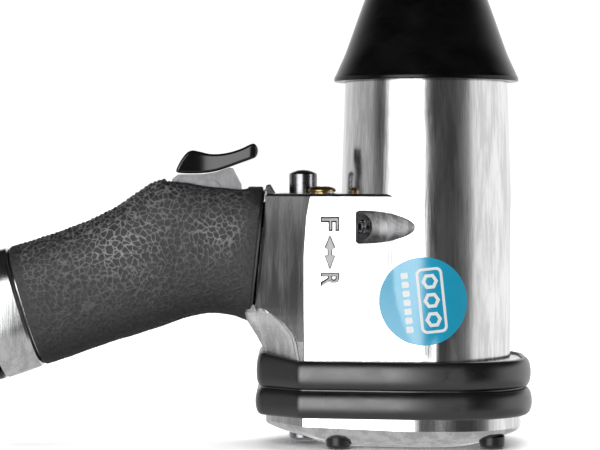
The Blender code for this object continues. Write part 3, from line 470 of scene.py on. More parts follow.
def make_materials():
    """Every finish by its name: metals by the order of metal()'s settings, the rest by name."""
    metals = {
        "polished_aluminium": ((0.90, 0.90, 0.91), 0.15, (1, 1, 0.05), 1500, 0.017, 0.06, 0.27, 0.004),
        "cast_mark": ((0.42, 0.42, 0.42), 0.46, EVEN, 1500, 0.02),
        "cast_aluminium": ((0.80, 0.80, 0.81), 0.66, EVEN, 900, 0.03, 0.04, 0.30),
        # The scoop and lug finishes are darker copies of the aluminium: painted shade in the scoop's recess
        # and on the lug.
        "scoop_aluminium": ((0.62, 0.62, 0.63), 0.55, EVEN, 900, 0.03, 0.05, 0.5),
        "lug_aluminium": ((0.16, 0.16, 0.17), 0.4, EVEN, 900, 0.03, 0.04, 0.5),
        "lever_steel": ((0.33, 0.33, 0.34), 0.34, EVEN, 500, 0.003, 0.0, 0.18),
        "mark_shadow": ((0.03, 0.03, 0.03), 0.55, EVEN, 1800, 0.02),
        "dark_steel": ((0.34, 0.34, 0.36), 0.24, (0.2, 0.2, 1), 2200, 0.002, 0.0, 0.35),
        "satin_steel": ((0.56, 0.56, 0.57), 0.30, (1, 1, 0.3), 1600, 0.006, 0.0, 0.2),
        "yellow_zinc": ((0.60, 0.44, 0.20), 0.28, EVEN, 900, 0.004, 0.0, 0.45),
        "bronze": ((0.58, 0.40, 0.22), 0.30, (1, 1, 0.2), 1500, 0.006),
    }
    polymers = {
        "black_plastic": dict(colour=(0.0015, 0.0015, 0.0016), rough=0.17, grain_scale=1200,
                              grain=0.004, spec=0.3, wear=1.2),
        "trigger_plastic": dict(colour=(0.003, 0.003, 0.003), rough=0.11, grain_scale=1200,
                                grain=0.002, spec=0.62),
        "black_rubber": dict(colour=(0.0035, 0.0035, 0.004), rough=0.31, grain_scale=1600,
                             grain=0.010, spec=1.0, coat=0.5),
        "black_oxide": dict(colour=(0.014, 0.014, 0.015), rough=0.34, grain_scale=2200, grain=0.012),
        "blue_label": dict(colour=(0.003, 0.33, 0.53), rough=0.20, grain_scale=700,
                           grain=0.004, wear=1.06, spec=1.0, coat=1.0),
        "label_white": dict(colour=(0.86, 0.88, 0.89), rough=0.28, grain_scale=700, grain=0.004, wear=0.97),
        "seal_rubber": dict(colour=(0.018, 0.018, 0.018), rough=0.55),
        "gasket_paper": dict(colour=(0.10, 0.12, 0.10), rough=0.85, grain_scale=1800, grain=0.05),
        "felt": dict(colour=(0.30, 0.28, 0.25), rough=0.95, grain_scale=1300,
                     grain=0.15, spec=0.2, sheen=0.3),
        "vane_composite": dict(colour=(0.16, 0.09, 0.05), rough=0.6, grain_scale=1500, grain=0.03),
    }
    made = {name: metal(name, *settings) for name, settings in metals.items()}
    made.update({name: polymer(name, **settings) for name, settings in polymers.items()})
    made["grip_rubber"] = grip_material()
    return made


# ---------------------------------------------------------------- shared shapes of the body

def flange_outline(distance=0.0):
    radii = [max(0.6, r + distance) for r in FLANGE_RADII]
    return rounded(spread(FLANGE, distance), radii, FLANGE_STEPS)


def body_radius(z):
    if z > SHOULDER_Z:
        return 32.1 - 1.4 * (z - SHOULDER_Z) / (HOUSING_FRONT - SHOULDER_Z)
    return 31.9 + 0.2 * max(0.0, z - 36) / (SHOULDER_Z - 36)


def side_plane(x, z):
    slope = 0.076 + 0.028 * min(1.0, max(0.0, (60 - z) / 20))
    return 27.38 - 0.8 * (z - 17) / (SHOULDER_Z - 17) + slope * (x + 46.3)


def corner_x(z):
    """Where the flat side turns into the facet, which swings forward near the shoulder."""
    if z > 86:
        return -45.4 + 1.5 * (z - 86) / 8.5
    return -46.3 + 0.9 * max(0.0, z - 72) / 14


def side_depth(x, z):
    """Half thickness where the barrel, the flat side and the blend between them meet."""
    barrel = math.sqrt(max(0.0, body_radius(z) ** 2 - x ** 2))
    flat, edge = side_plane(x, z), side_plane(FLAT_END, z)
    blend = edge + (BLEND_DEPTH - edge) * (x - FLAT_END) / (BLEND_END - FLAT_END)
    return max(barrel, -0.5 * math.log(math.exp(-flat / 0.5) + math.exp(-blend / 0.5)))


def superellipse(count):
    """The two coordinates of points round the handle's unit section."""
    angle = np.arange(count) * TURN / count
    c, s = np.cos(angle), np.sin(angle)
    return np.copysign(np.abs(c) ** (2 / SQUARENESS), c), np.copysign(np.abs(s) ** (2 / SQUARENESS), s)


def handle_ring(share, inset, points=24, shift=0.0):
    """A section of the handle at a share of its length, drawn in by the inset."""
    front, back = curve_through(FRONT_EDGE, share), curve_through(BACK_EDGE, share)
    width = curve_through([(w,) for w in HALF_WIDTH], share)[0] - inset
    middle, reach = (front + back) / 2, (front - back) / 2
    reach = reach * (1 - inset / np.linalg.norm(reach))
    u, v = superellipse(points)
    return np.stack([middle[0] + reach[0] * u + shift, width * v, middle[1] + reach[1] * u], 1)


def foot_frame():
    front, back = Vector(FRONT_EDGE[-1]), Vector(BACK_EDGE[-1])
    middle, up = (front + back) / 2, (front - back).normalized()
    x_axis, y_axis = Vector((up.x, 0, up.y)), Vector((0, 1, 0))
    place = Matrix((x_axis, y_axis, x_axis.cross(y_axis))).transposed().to_4x4()
    place.translation = (middle.x, 0, middle.y)
    return place


FOOT = foot_frame()
INLET_AT, EXHAUST_AT, EXHAUST_R = 10.0, -12.0, 7.0


def foot_point(x, y, z):
    return FOOT @ Vector((x, y, z))


# ---------------------------------------------------------------- main housing

ARC = [(-66.5, 51.5), (-61.5, 51.3), (-57.5, 49.0), (-54.2, 46.6), (-52.5, 44.7), (-50.8, 42.6),
       (-49.7, 39.7), (-49.1, 36.7), (-48.5, 33.3), (-48.3, 30.0)]
FACET_END = [(17, -60.5, 14.0), (45.8, -65.6, 11.8), (52, -65.0, 13.6), (60, -64.2, 15.0),
             (66, -63.5, 15.5), (72, -63.0, 15.6), (79, -62.2, 15.2), (86, -61.5, 14.6),
             (93.0, -60.8, 13.6), (94.5, -60.7, 13.5)]


def facet_end(z):
    heights = [h for h, _, _ in FACET_END]
    return (float(np.interp(z, heights, [x for _, x, _ in FACET_END])),
            float(np.interp(z, heights, [w for _, _, w in FACET_END])))


def facet_depth(x, z):
    """Half thickness of the slanted facet between the flat side and the handle."""
    end, width = facet_end(z)
    corner = corner_x(z)
    edge = side_plane(corner, z)
    return edge - (edge - width) * (corner - x) / (corner - end)


def block():
    """The flat-sided block and its facets, with a small bevel round the shoulder."""
    heights = (17, 30, 40, 45.8, 49, 52, 56, 60, 63, 66, 69, 72, 75.5, 79, 82.5, 86, 90, 93.0)
    bevels = ((93.6, 0.15), (94.1, 0.5), (94.4, 0.95), (94.5, 1.3))
    rings = []
    for z, bevel in [(height, 0) for height in heights] + list(bevels):
        end, width = facet_end(z)
        corner = corner_x(z)
        half = [(end + bevel * 0.3, bevel - width), (corner, bevel - side_plane(corner, z)),
                (FLAT_END, bevel - side_plane(FLAT_END, z)), (BLEND_END, -BLEND_DEPTH)]
        corners = half + [(x, -y) for x, y in reversed(half)]
        outline = rounded(corners, [1.2, 1.6, 12, 1, 1, 12, 1.6, 1.2], [6, 6, 10, 1, 1, 10, 6, 6])
        rings.append([(x, y, z) for x, y in outline])
    return loft("block", rings, sharp=CAST_SHARP)


def web():
    """The hollowed-out root under the grip, which runs down to the flange."""
    rings = []
    bead = list(reversed(ARC[3:]))
    for z, end, width in ((31.0, -60.9, 12.5), (34.1, -60.9, 12.5), (37.2, -61.7, 12.6), (41.3, -63.9, 12.8),
                          (44.8, -66.1, 13.0), (47.0, -67.5, 13.0), (50.0, -68.4, 12.6), (53.0, -67.8, 11.0)):
        x_arc = -54.2 - (z - 46.6) * 1.2
        if z < 46.6:
            x_arc = float(np.interp(z, [p[1] for p in bead], [p[0] for p in bead]))
        side = facet_depth(x_arc, z) - 0.55
        path = [(end - 0.35, -width * 0.35), (end, -width),
                (end + (x_arc - end) * 0.30, -width - (side - width) * 0.35),
                (end + (x_arc - end) * 0.68, -width - (side - width) * 0.74),
                (x_arc, -side), (x_arc + 8, -side - 0.6)]
        half = dense(path, 22)
        rings.append([(x, y, z) for x, y in half] + [(x, -y, z) for x, y in reversed(half)])
    return loft("web", rings, sharp=30)


def beads():
    """A raised casting bead along the edge of the root, on both sides."""
    made = []
    path = dense(ARC[2:], 40)
    for side in (-1, 1):
        rings = []
        for k, (x, z) in enumerate(path):
            ahead, behind = path[min(k + 1, len(path) - 1)], path[max(k - 1, 0)]
            run = Vector((ahead[0] - behind[0], 0, ahead[1] - behind[1])).normalized()
            out = Vector((-0.5, side * 0.86, 0)).normalized()
            across = run.cross(out).normalized()
            centre = Vector((x, side * (facet_depth(x, z) - 0.30), z))
            size = 0.95 * min(1.0, 0.25 + k / 9)
            rings.append([tuple(centre + (across * math.cos(a) + out * math.sin(a)) * size)
                          for a in (TURN * j / 14 for j in range(14))])
        made.append(loft(f"bead_{side}", rings, sharp=60))
    return made


def handle_core():
    inner = GRIP_WALL + GAP
    rings = [handle_ring(0.0, inner + 6.5, 48, 12), handle_ring(0.0, inner + 2.8, 48)]
    rings += [handle_ring(s, inner, 48) for s in np.linspace(0.04, GRIP_END + 0.004, 14)]
    rim = ((GRIP_END + 0.005, 0.9), (GRIP_END + 0.008, 0.35), (GRIP_END + 0.013, 0.1), (0.95, 0.0),
           (0.988, 0.1), (0.996, 0.5), (1.0, 1.2))
    rings += [handle_ring(s, inset, 48) for s, inset in rim]
    return loft("core", [[tuple(p) for p in ring] for ring in rings], sharp=25)


def retainer_outline(distance=0.0):
    return rounded(spread(PLATE, distance), [2.5 + distance] * len(PLATE), [5] * len(PLATE))


def housing_cutters():
    cutters = [
        disc("motor_bore", MOTOR_BORE, 10, MOTOR_STOP, segments=96),
        disc("shaft_hole", 13.5, 65, 80),
        disc("hammer_bore", HAMMER_BORE, HAMMER_FLOOR, 150, segments=96),
        disc("bush_bore", BUSH_R + GAP, 10, 90, (SPOOL_X, 0)),
        disc("spool_hole", SPOOL_R + 0.6, 85, 110, (SPOOL_X, 0)),
        disc("retainer_hole", 2.1, 80, 110, RETAINER_SCREW),
        prism("plate_recess", retainer_outline(0.5), 92.9, 110),
        box("trigger_slot", (SLOT_X[0], -5.7, SLOT_FLOOR), (SLOT_X[1], 5.7, 110)),
        rod("pin_hole", (PIVOT[0], -25, PIVOT[1]), (PIVOT[0], 25, PIVOT[1]), 1.9),
        disc("valve_chamber", 6.1, 61.2, 90, (STEM_X, 0)),
        rod("supply_to_spool", (STEM_X, 0, 76.8), (-50, 0, 76.8), 3.4),
        rod("exhaust_from_spool", (-104, 0, 54.5), (-50, 0, 56.4), 3.3),
        rod("forward_port", (-50, 0, 38), (-20, 0, 38), 4.0),
        rod("reverse_port", (-50, 0, 57), (-20, 0, 57), 4.0),
        rod("inlet_seat", foot_point(INLET_AT, 0, -17), foot_point(INLET_AT, 0, 5), 9.0),
        rod("inlet_bore", foot_point(INLET_AT, 0, -62), foot_point(INLET_AT, 0, -15), 6.6),
        rod("inlet_to_valve", (-110, 0, 75), (-76, 0, 66.5), 4.4),
        rod("exhaust_bore", foot_point(EXHAUST_AT, 0, -66), foot_point(EXHAUST_AT, 0, 5), EXHAUST_R),
        rod("oil_hole", OIL_CENTRE - OIL_AXIS * 12, OIL_CENTRE + OIL_AXIS * 3, 2.6, 32),
    ]
    cutters += [disc(f"thread_{k}", SCREW_SHANK_R + 0.3, 10, 31, place, 24)
                for k, place in enumerate(SCREW_PLACES)]
    return cutters


def pocket_section(x, depth, half, steps=28):
    """A half-round section of the scoop at x, open to the outside."""
    surface = side_depth(x, POCKET_Z)
    section = [(x, -surface - 3, POCKET_Z + half)]
    for k in range(steps + 1):
        a = math.pi * k / steps
        section.append((x, depth * math.sin(a) - surface, POCKET_Z + half * math.cos(a)))
    return section + [(x, -surface - 3, POCKET_Z - half)]


def pocket_scoop(stations=30):
    """A long scoop with a sloping floor, which runs out onto the barrel in a rounded end."""
    start, end = POCKET_X
    rings = [pocket_section(start - 0.12, 0.1, POCKET_HALF - 0.75),
             pocket_section(start, 0.4, POCKET_HALF - 0.6)]
    for k in range(stations):
        t = 0.045 + 0.945 * (1 - (1 - k / (stations - 1)) ** 1.6)
        x = start + (end - start) * t
        floor = 24.6 + math.log(1 + math.exp((6.9 - (end - x) * 0.62) / 0.6)) * 0.6
        depth = max(0.15, side_depth(x, POCKET_Z) - floor)
        rings.append(pocket_section(x, depth, POCKET_HALF * (1 - t ** 2.2) ** 0.55))
    return loft("pocket", rings, sharp=30)


def dimple(steps=16, segments=64):
    """The half of a ball that lies towards +X, at the deep end of the scoop."""
    rings = []
    for k in range(steps):
        reach = DIMPLE_R * (0.02 + 0.975 * math.sin(math.pi / 2 * k / (steps - 1)))
        across = math.sqrt(DIMPLE_R ** 2 - reach ** 2)
        x, y, z = DIMPLE_CENTRE
        rings.append([(x + reach, y + across * math.cos(a), z + across * math.sin(a))
                      for a in (TURN * (i + 0.3) / segments for i in range(segments))])
    return loft("dimple", rings)


def on_bead(x, z):
    """Whether a point lies within the width of the casting bead."""
    return 33.5 < z < 52 and x < -47 and 15.0 < math.hypot(x - ROOT_CENTRE[0], z - ROOT_CENTRE[1]) < 18.2


def lip():
    """The small lug that stands up between the grip and the shoulder."""
    outline = rounded([(-61.0, 92), (-57.0, 92), (-57.3, 94.6), (-59.2, 97.9), (-60.6, 97.6), (-61.0, 95.5)],
                      [0.3, 0.3, 0.5, 0.6, 0.5, 0.4], [2, 2, 4, 5, 4, 3])
    return slab("lip", outline, 10.6, 0.5, UPRIGHT)


def housing_finish_and_shade(x, y, z):
    """Which finish the casting has at a point, painted shade included: 0 polished, 1 as cast, 2 the scoop's
    and 3 the lug's, both darker copies of the aluminium as painted shade.
    """
    out = abs(y) - facet_depth(x, z)
    if z > 94.6 and x < -57:
        return 3
    if (POCKET_X[0] - 0.1 < x < POCKET_X[1] and abs(z - POCKET_Z) < 6.2
            and -side_depth(x, z) + 0.06 < y < -18):
        return 2
    in_root = math.hypot(x - ROOT_CENTRE[0], z - ROOT_CENTRE[1]) < 16.6 and 32.5 < z and x > -70 and out < 3.0
    return int(in_root or (on_bead(x, z) and x < -48.2 and out > 0.3))


def make_housing(mats):
    tip = body_radius(137.3)
    profile = [(0, 17), (body_radius(17), 17), (body_radius(36), 36), (body_radius(SHOULDER_Z), SHOULDER_Z),
               (tip, 137.3), (tip - 0.7, HOUSING_FRONT), (0, HOUSING_FRONT)]
    barrel = turned("barrel", profile, 288)
    upper = block()
    arc_outline = [(x, z) for x, z in dense(ARC, 60)] + [(-48.3, 10.0), (-90, 10.0), (-90, 51.5)]
    cut(upper, prism("root_cut", arc_outline, -60, 60, UPRIGHT))
    housing = prism("housing_casting", flange_outline(), HOUSING_REAR, FLANGE_TOP)
    join(housing, barrel, upper, web(), *beads(), handle_core(), lip())
    cut(housing, pocket_scoop(), dimple(), *housing_cutters(), sharp=CAST_SHARP)
    # The scoop and the lug take darker copies of the aluminium: painted shade.
    finishes_and_painted_shades = [mats[f"{kind}_aluminium"] for kind in ("polished", "cast", "scoop", "lug")]
    piece(housing, "housing", "polished_aluminium", finishes_and_painted_shades, "main_housing")
    for face in housing.data.polygons:
        face.material_index = housing_finish_and_shade(*(face.center / MM))


def make_rear_cover(mats):
    middle = np.array((-10.0, 0.0))
    rings = []
    profile = [(0.5, COVER_TOP, 0), (0.2, COVER_TOP - 0.3, 0), (0.2, 7.6, 0.5), (0.45, 6.8, 0.5),
               (1.1, 6.1, 0.55), (2.2, 5.3, 0.6), (4.0, 4.35, 0.62), (6.0, 3.3, 0.7), (8.2, 2.35, 0.76),
               (10.4, 1.6, 0.8), (12.5, 1.0, 0.82)]
    for inset, z, share in profile:
        near = min(inset, 1.4)
        base = np.array(flange_outline(-near))
        points = middle + (base - middle) * (1 - (inset - near) / 34)
        rise = 0.0019 * np.maximum(0.0, -points[:, 0] - 12) ** 2
        rings.append([(x, y, z + r * share) for (x, y), r in zip(points, rise)])
    last = rings[-1]
    for scale, drop in ((0.95, 0.6), (0.88, 0.3), (0.80, 0.1), (0.72, 0.0)):
        rings.append([(x * scale, y * scale, z * drop) for x, y, z in last])
    cover = loft("rear_cover_casting", rings, sharp=CAST_SHARP)
    cutters = [disc("hollow", 22, 7.5, 20), disc("spool_way", SPOOL_R + 0.6, -5, 20, (SPOOL_X, 0))]
    for k, place in enumerate(SCREW_PLACES):
        cutters.append(disc(f"seat_{k}", SCREW_HEAD_R + 0.4, -5, SCREW_HEAD + GAP, place))
        cutters.append(disc(f"way_{k}", SCREW_SHANK_R + 0.3, 0, 20, place))
    cut(cover, *cutters, sharp=CAST_SHARP)
    piece(cover, "housing", "polished_aluminium", mats["polished_aluminium"], "rear_cover")


def make_bumper(mats):
    """Two half-round rubber ribs with a groove between; the top rim stands higher at the handle's root."""
    low, high = BUMPER_Z
    profile = [(0.9, low)]
    for bottom, top, proud in ((low, 22.1, 3.6), (22.5, high, 3.2)):
        for k in range(15):
            a = math.pi * k / 14
            profile.append((1.25 + (proud - 1.25) * math.sin(a) ** 0.85,
                            (bottom + top) / 2 - (top - bottom) / 2 * math.cos(a)))
    profile += [(0.9, high), (0.35, high), (0.35, low)]
    rings = []
    for distance, z in profile:
        outline = rounded(spread(FLANGE, distance), [27, 27, 110, 5.5, 7, 7, 5.5, 110],
                          [26, 26, 16, 12, 8, 8, 12, 16])
        lift = 2.3 * max(0.0, z - 26) / 7
        rings.append([(x, y, z + lift * min(1.0, max(0.0, (-49 - x) / 7))) for x, y in outline])
    bumper = loft("bumper_band", rings, ring_shaped=True, sharp=50)
    piece(bumper, "housing", "black_rubber", mats["black_rubber"], "rubber_bumper")


def make_screws(mats):
    r, shank = SCREW_HEAD_R, SCREW_SHANK_R
    profile = [(0, 0.0), (r - 1.5, 0.0), (r - 0.9, 0.12), (r - 0.35, 0.45), (r - 0.08, 0.95), (r, 1.6),
               (r, SCREW_HEAD), (shank, SCREW_HEAD)]
    for j in range(22):
        profile += [(shank, 8.0 + j), (shank - 0.35, 8.5 + j)]
    profile += [(shank - 0.6, 30), (0, 30)]
    for k, place in enumerate(SCREW_PLACES):
        screw = turned(f"cover_screw_{k + 1}_fine", profile, 48, place, sharp=28)
        cut(screw, turned("hex", [(0, -1), (2.6, -1), (2.6, 2.6), (0, 3.6)], 6, place), sharp=28)
        piece(screw, "housing", "black_oxide", mats["black_oxide"], f"cover_screw_{k + 1}")


# ---------------------------------------------------------------- nose and drive

def make_nose(mats):
    front = HOUSING_FRONT + GAP
    outer = [(34.3, 136.72), (34.75, 136.85), (34.9, 137.25), (34.86, 138.2), (34.35, 139.2), (33.4, 141.3),
             (30.8, 147.1), (28.2, 154.2), (25.6, 161.6), (23.3, 167.9), (21.2, 173.9), (20.1, 176.4),
             (19.0, 177.9), (18.0, 178.45)]
    inner = [(16.9, 178.3), (16.75, 177.2), (24.5, 150.2), (31.0, 145.0), (31.0, 137.0), (31.2, 136.75)]
    boot = turned("nose_cone", dense(outer, 70) + inner, 192, sharp=35)
    piece(boot, "housing", "black_plastic", mats["black_plastic"], "nose_boot")
    r = 30.6
    profile = [(13, 125.6), (26.6, 125.6), (26.6, front), (r, front), (r, 144.6), (24.0, 150), (16.4, 178),
               (16.4, 181.2), (15.7, 182), (12.6, 182), (12.6, 134), (13, 133)]
    nose = turned("nose_sleeve", profile, 144)
    piece(nose, "housing", "satin_steel", mats["satin_steel"], "nose_housing")


def make_drive(mats):
    half = 6.35
    square = rounded([(-half, -half), (half, -half), (half, half), (-half, half)], [1.5] * 4, [6] * 4)
    shaft = [(0, 81), (8.6, 81), (9, 81.4), (9, 112.6), (11.8, 113), (11.8, 120.4), (16, 120.8),
             (16, 124.6), (9.5, 125), (9.5, 183.6), (9.1, 184.3), (8.2, 185.2), (0, 185.2)]
    anvil = turned("drive_anvil", shaft, 96)
    square_rings = [[(x * s, y * s, z) for x, y in square] for s, z in ((1, 183), (1, 195.9), (0.93, 196.4))]
    tip_rings = [[(x * s, y * s, z) for x, y in square]
                 for s, z in ((0.93, 200.0), (1, 200.5), (1, 203.9), (0.97, 204.8), (0.9, 205.5))]
    parts = [disc("neck", 4.9, 190, 203), loft("square", square_rings), loft("tip", tip_rings)]
    for low, turn in ((82, 0.0), (98, math.pi)):
        shape = rounded([(5, -4), (10.9, -3.1), (10.9, 3.1), (5, 4)], [0.8] * 4, [5] * 4)
        parts.append(prism("lug", shape, low, low + 13, Matrix.Rotation(turn + math.pi / 2, 4, "Z")))
    join(anvil, *parts, sharp=25)
    piece(anvil, "drive", "satin_steel", mats["satin_steel"], "anvil")


# ---------------------------------------------------------------- reverse spool and its retainer

def make_reverse(mats):
    low, high, r = 0.5, 103.4, SPOOL_R
    profile = [(0, low), (r - 2.6, low + 0.1), (r - 1.2, low + 0.45), (r - 0.35, low + 1.05), (r, low + 1.9)]
    for a, b, waist in ((21.0, 22.9, 4.2), (32, 50, 3.4), (60, 73, 3.4), (82.6, 84.5, 4.2)):
        profile += [(r - 0.15, a), (waist, a + 0.15), (waist, b - 0.15), (r - 0.15, b)]
    profile += [(r, 84.7), (r, high - 1.9), (r - 0.12, high - 1.55), (r - 0.5, high - 1.25),
                (r - 1.6, high - 0.72), (r - 3.1, high - 0.22), (0, high)]
    spool = turned("reverse_button", profile, 96, (SPOOL_X, 0), sharp=24)
    piece(spool, "spool", "dark_steel", mats["dark_steel"], "reverse_spool")
    x, y = RETAINER_SCREW
    head = [(0, 83), (1.9, 83), (1.9, 95.1), (4.9, 95.1), (5.15, 95.35), (5.2, 95.8), (4.9, 96.3),
            (4.2, 96.75), (3.0, 97.1), (0, 97.3)]
    screw = turned("retainer_screw_fine", head, 64, RETAINER_SCREW)
    cross = [box("cross_1", (x - 0.75, y - 3.1, 95.7), (x + 0.75, y + 3.1, 99)),
             box("cross_2", (x - 3.1, y - 0.75, 95.7), (x + 3.1, y + 0.75, 99))]
    cut(screw, *cross, sharp=25)
    piece(screw, "housing", "yellow_zinc", mats["yellow_zinc"], "retainer_screw")
    plate = prism("retainer_plate_fine", retainer_outline(), 93.2, 94.0)
    cut(plate, disc("spool_way", SPOOL_R + 0.5, 90, 96, (SPOOL_X, 0)),
        disc("screw_way", 2.3, 90, 96, RETAINER_SCREW))
    piece(softened(plate, 0.15, 2), "housing", "satin_steel", mats["satin_steel"], "spool_retainer")


# ---------------------------------------------------------------- trigger

PAD = [(-94.6, 102.9), (-93.9, 105.0), (-92.4, 107.6), (-90.6, 109.8), (-88.6, 110.7), (-86.0, 110.3),
       (-82.0, 109.4), (-78.0, 109.4), (-74.0, 110.1), (-70.0, 111.4), (-66.6, 113.0), (-65.1, 113.2),
       (-64.1, 112.0), (-63.8, 110.2), (-64.6, 108.3), (-66.6, 107.3), (-70.5, 105.9), (-74.7, 104.4),
       (-79.5, 102.9), (-84.3, 102.15), (-89.5, 102.0), (-93.4, 102.2)]
LEVER = [(-96.2, 99.9), (-94.0, 101.6), (-89.5, 101.7), (-84.3, 101.8), (-79.5, 102.6), (-74.6, 104.2),
         (-73.4, 103.9), (-70.2, 97.8), (-69.8, 92), (-71.2, 87), (-92.5, 87), (-95.8, 92)]
PANEL = [(-94.2, 99.2), (-93.4, 100.8), (-84.3, 100.9), (-79.3, 101.7), (-74.8, 103.1), (-74.0, 102.9),
         (-71.1, 97.4), (-70.8, 92), (-71.9, 88), (-92.0, 88), (-94.6, 92)]
PAD_HALF = 8.5


def make_trigger(mats):
    pad = slab("trigger_shoe", smooth_closed(PAD, 6), PAD_HALF, 1.15, UPRIGHT, 7, 35)
    work = bmesh.new()
    work.from_mesh(pad.data)
    sliced(work, np.arange(-94.2, -63.9, 0.6) * MM)
    work.to_mesh(pad.data)
    work.free()
    shaded(pad, 35)
    for vertex in pad.data.vertices:
        x = vertex.co.x / MM
        past = (x - PIVOT[0]) / 0.4
        narrow = 1.9 - 0.4 * math.log(math.exp(-0.14 * past) + math.exp(0.09 * past))
        narrow = max(0.0, narrow) + 0.06 * max(0.0, x + 67) ** 2
        vertex.co.y *= 1 - min(3.4, narrow) / PAD_HALF
    piece(pad, "trigger", "black_plastic", mats["trigger_plastic"], "trigger_pad")
    lever = prism("trigger_web", LEVER, -4.9, 4.9, UPRIGHT)
    cut(lever, prism("panel_near", PANEL, 4.35, 6, UPRIGHT), prism("panel_far", PANEL, -6, -4.35, UPRIGHT))
    hub = rod("hub", (PIVOT[0], -5.35, PIVOT[1]), (PIVOT[0], 5.35, PIVOT[1]), 4.1, 64)
    boss = rod("boss", (-83.0, -5.25, 94.1), (-83.0, 5.25, 94.1), 5.8, 64)
    join(lever, hub, boss)
    cut(lever, rod("hole", (PIVOT[0], -9, PIVOT[1]), (PIVOT[0], 9, PIVOT[1]), 2.0), sharp=25)
    piece(softened(lever, 0.12, 2), "trigger", "satin_steel", mats["lever_steel"], "trigger_lever")


def make_throttle_spring(mats):
    """The coil under the throttle valve, built at one fixed length."""
    low, climb, radius, wire, turns, per_turn = 61.6, 4.0, 3.0, 0.45, 3, 40
    rings = []
    for k in range(turns * per_turn + 1):
        angle = TURN * k / per_turn
        z = low + wire + climb * k / (turns * per_turn)
        rings.append([(STEM_X + (radius + wire * math.cos(a)) * math.cos(angle),
                       (radius + wire * math.cos(a)) * math.sin(angle), z + wire * math.sin(a))
                      for a in (TURN * j / 12 for j in range(12))])
    coil = loft("throttle_coil", rings, sharp=60)
    piece(coil, "housing", "satin_steel", mats["satin_steel"], "throttle_spring")
    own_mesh(coil)


# ---------------------------------------------------------------- grip

def cell_veins(points, size, seed=7):
    """How close each point is to a wall between random cells, 1 on the wall and 0 inside a cell."""
    grid = np.floor(points / size).astype(np.int64)
    best = np.full(len(points), 1e9)
    second = np.full(len(points), 1e9)
    for dx in (-1, 0, 1):
        for dy in (-1, 0, 1):
            for dz in (-1, 0, 1):
                cell = grid + (dx, dy, dz)
                jitter = []
                for axis in range(3):
                    h = (cell[:, 0] * 73856093) ^ (cell[:, 1] * 19349663) ^ (cell[:, 2] * 83492791)
                    h ^= seed + axis * 7919
                    h = (h ^ (h >> 13)) * 1274126177
                    jitter.append(((h ^ (h >> 16)) & 0xffff) / 65535.0)
                centre = (cell + np.stack(jitter, 1)) * size
                distance = np.linalg.norm(points - centre, axis=1)
                second = np.where(distance < best, best, np.minimum(second, distance))
                best = np.minimum(best, distance)
    wall = (second - best) / size
    return np.clip(1 - wall / 0.14, 0, 1)


def eased(value, start, length, lowest=0.0):
    """The lowest value up to the start, then rising to 1 a length further on."""
    return np.clip((value - start) / length, lowest, 1)


def away(value, centre, width):
    """The squared distance from the centre, in widths."""
    return ((value - centre) / width) ** 2


def outward(rings):
    """The outward normal at each point of a stack of rings."""
    flat = rings.reshape(-1, 3)
    normal = np.cross(np.roll(rings, -1, 1) - np.roll(rings, 1, 1), np.gradient(rings, axis=0)).reshape(-1, 3)
    normal /= np.linalg.norm(normal, axis=1, keepdims=True)
    centre = np.repeat(rings.mean(1), rings.shape[1], 0)
    return normal * np.sign(np.sum(normal * (flat - centre), 1, keepdims=True))


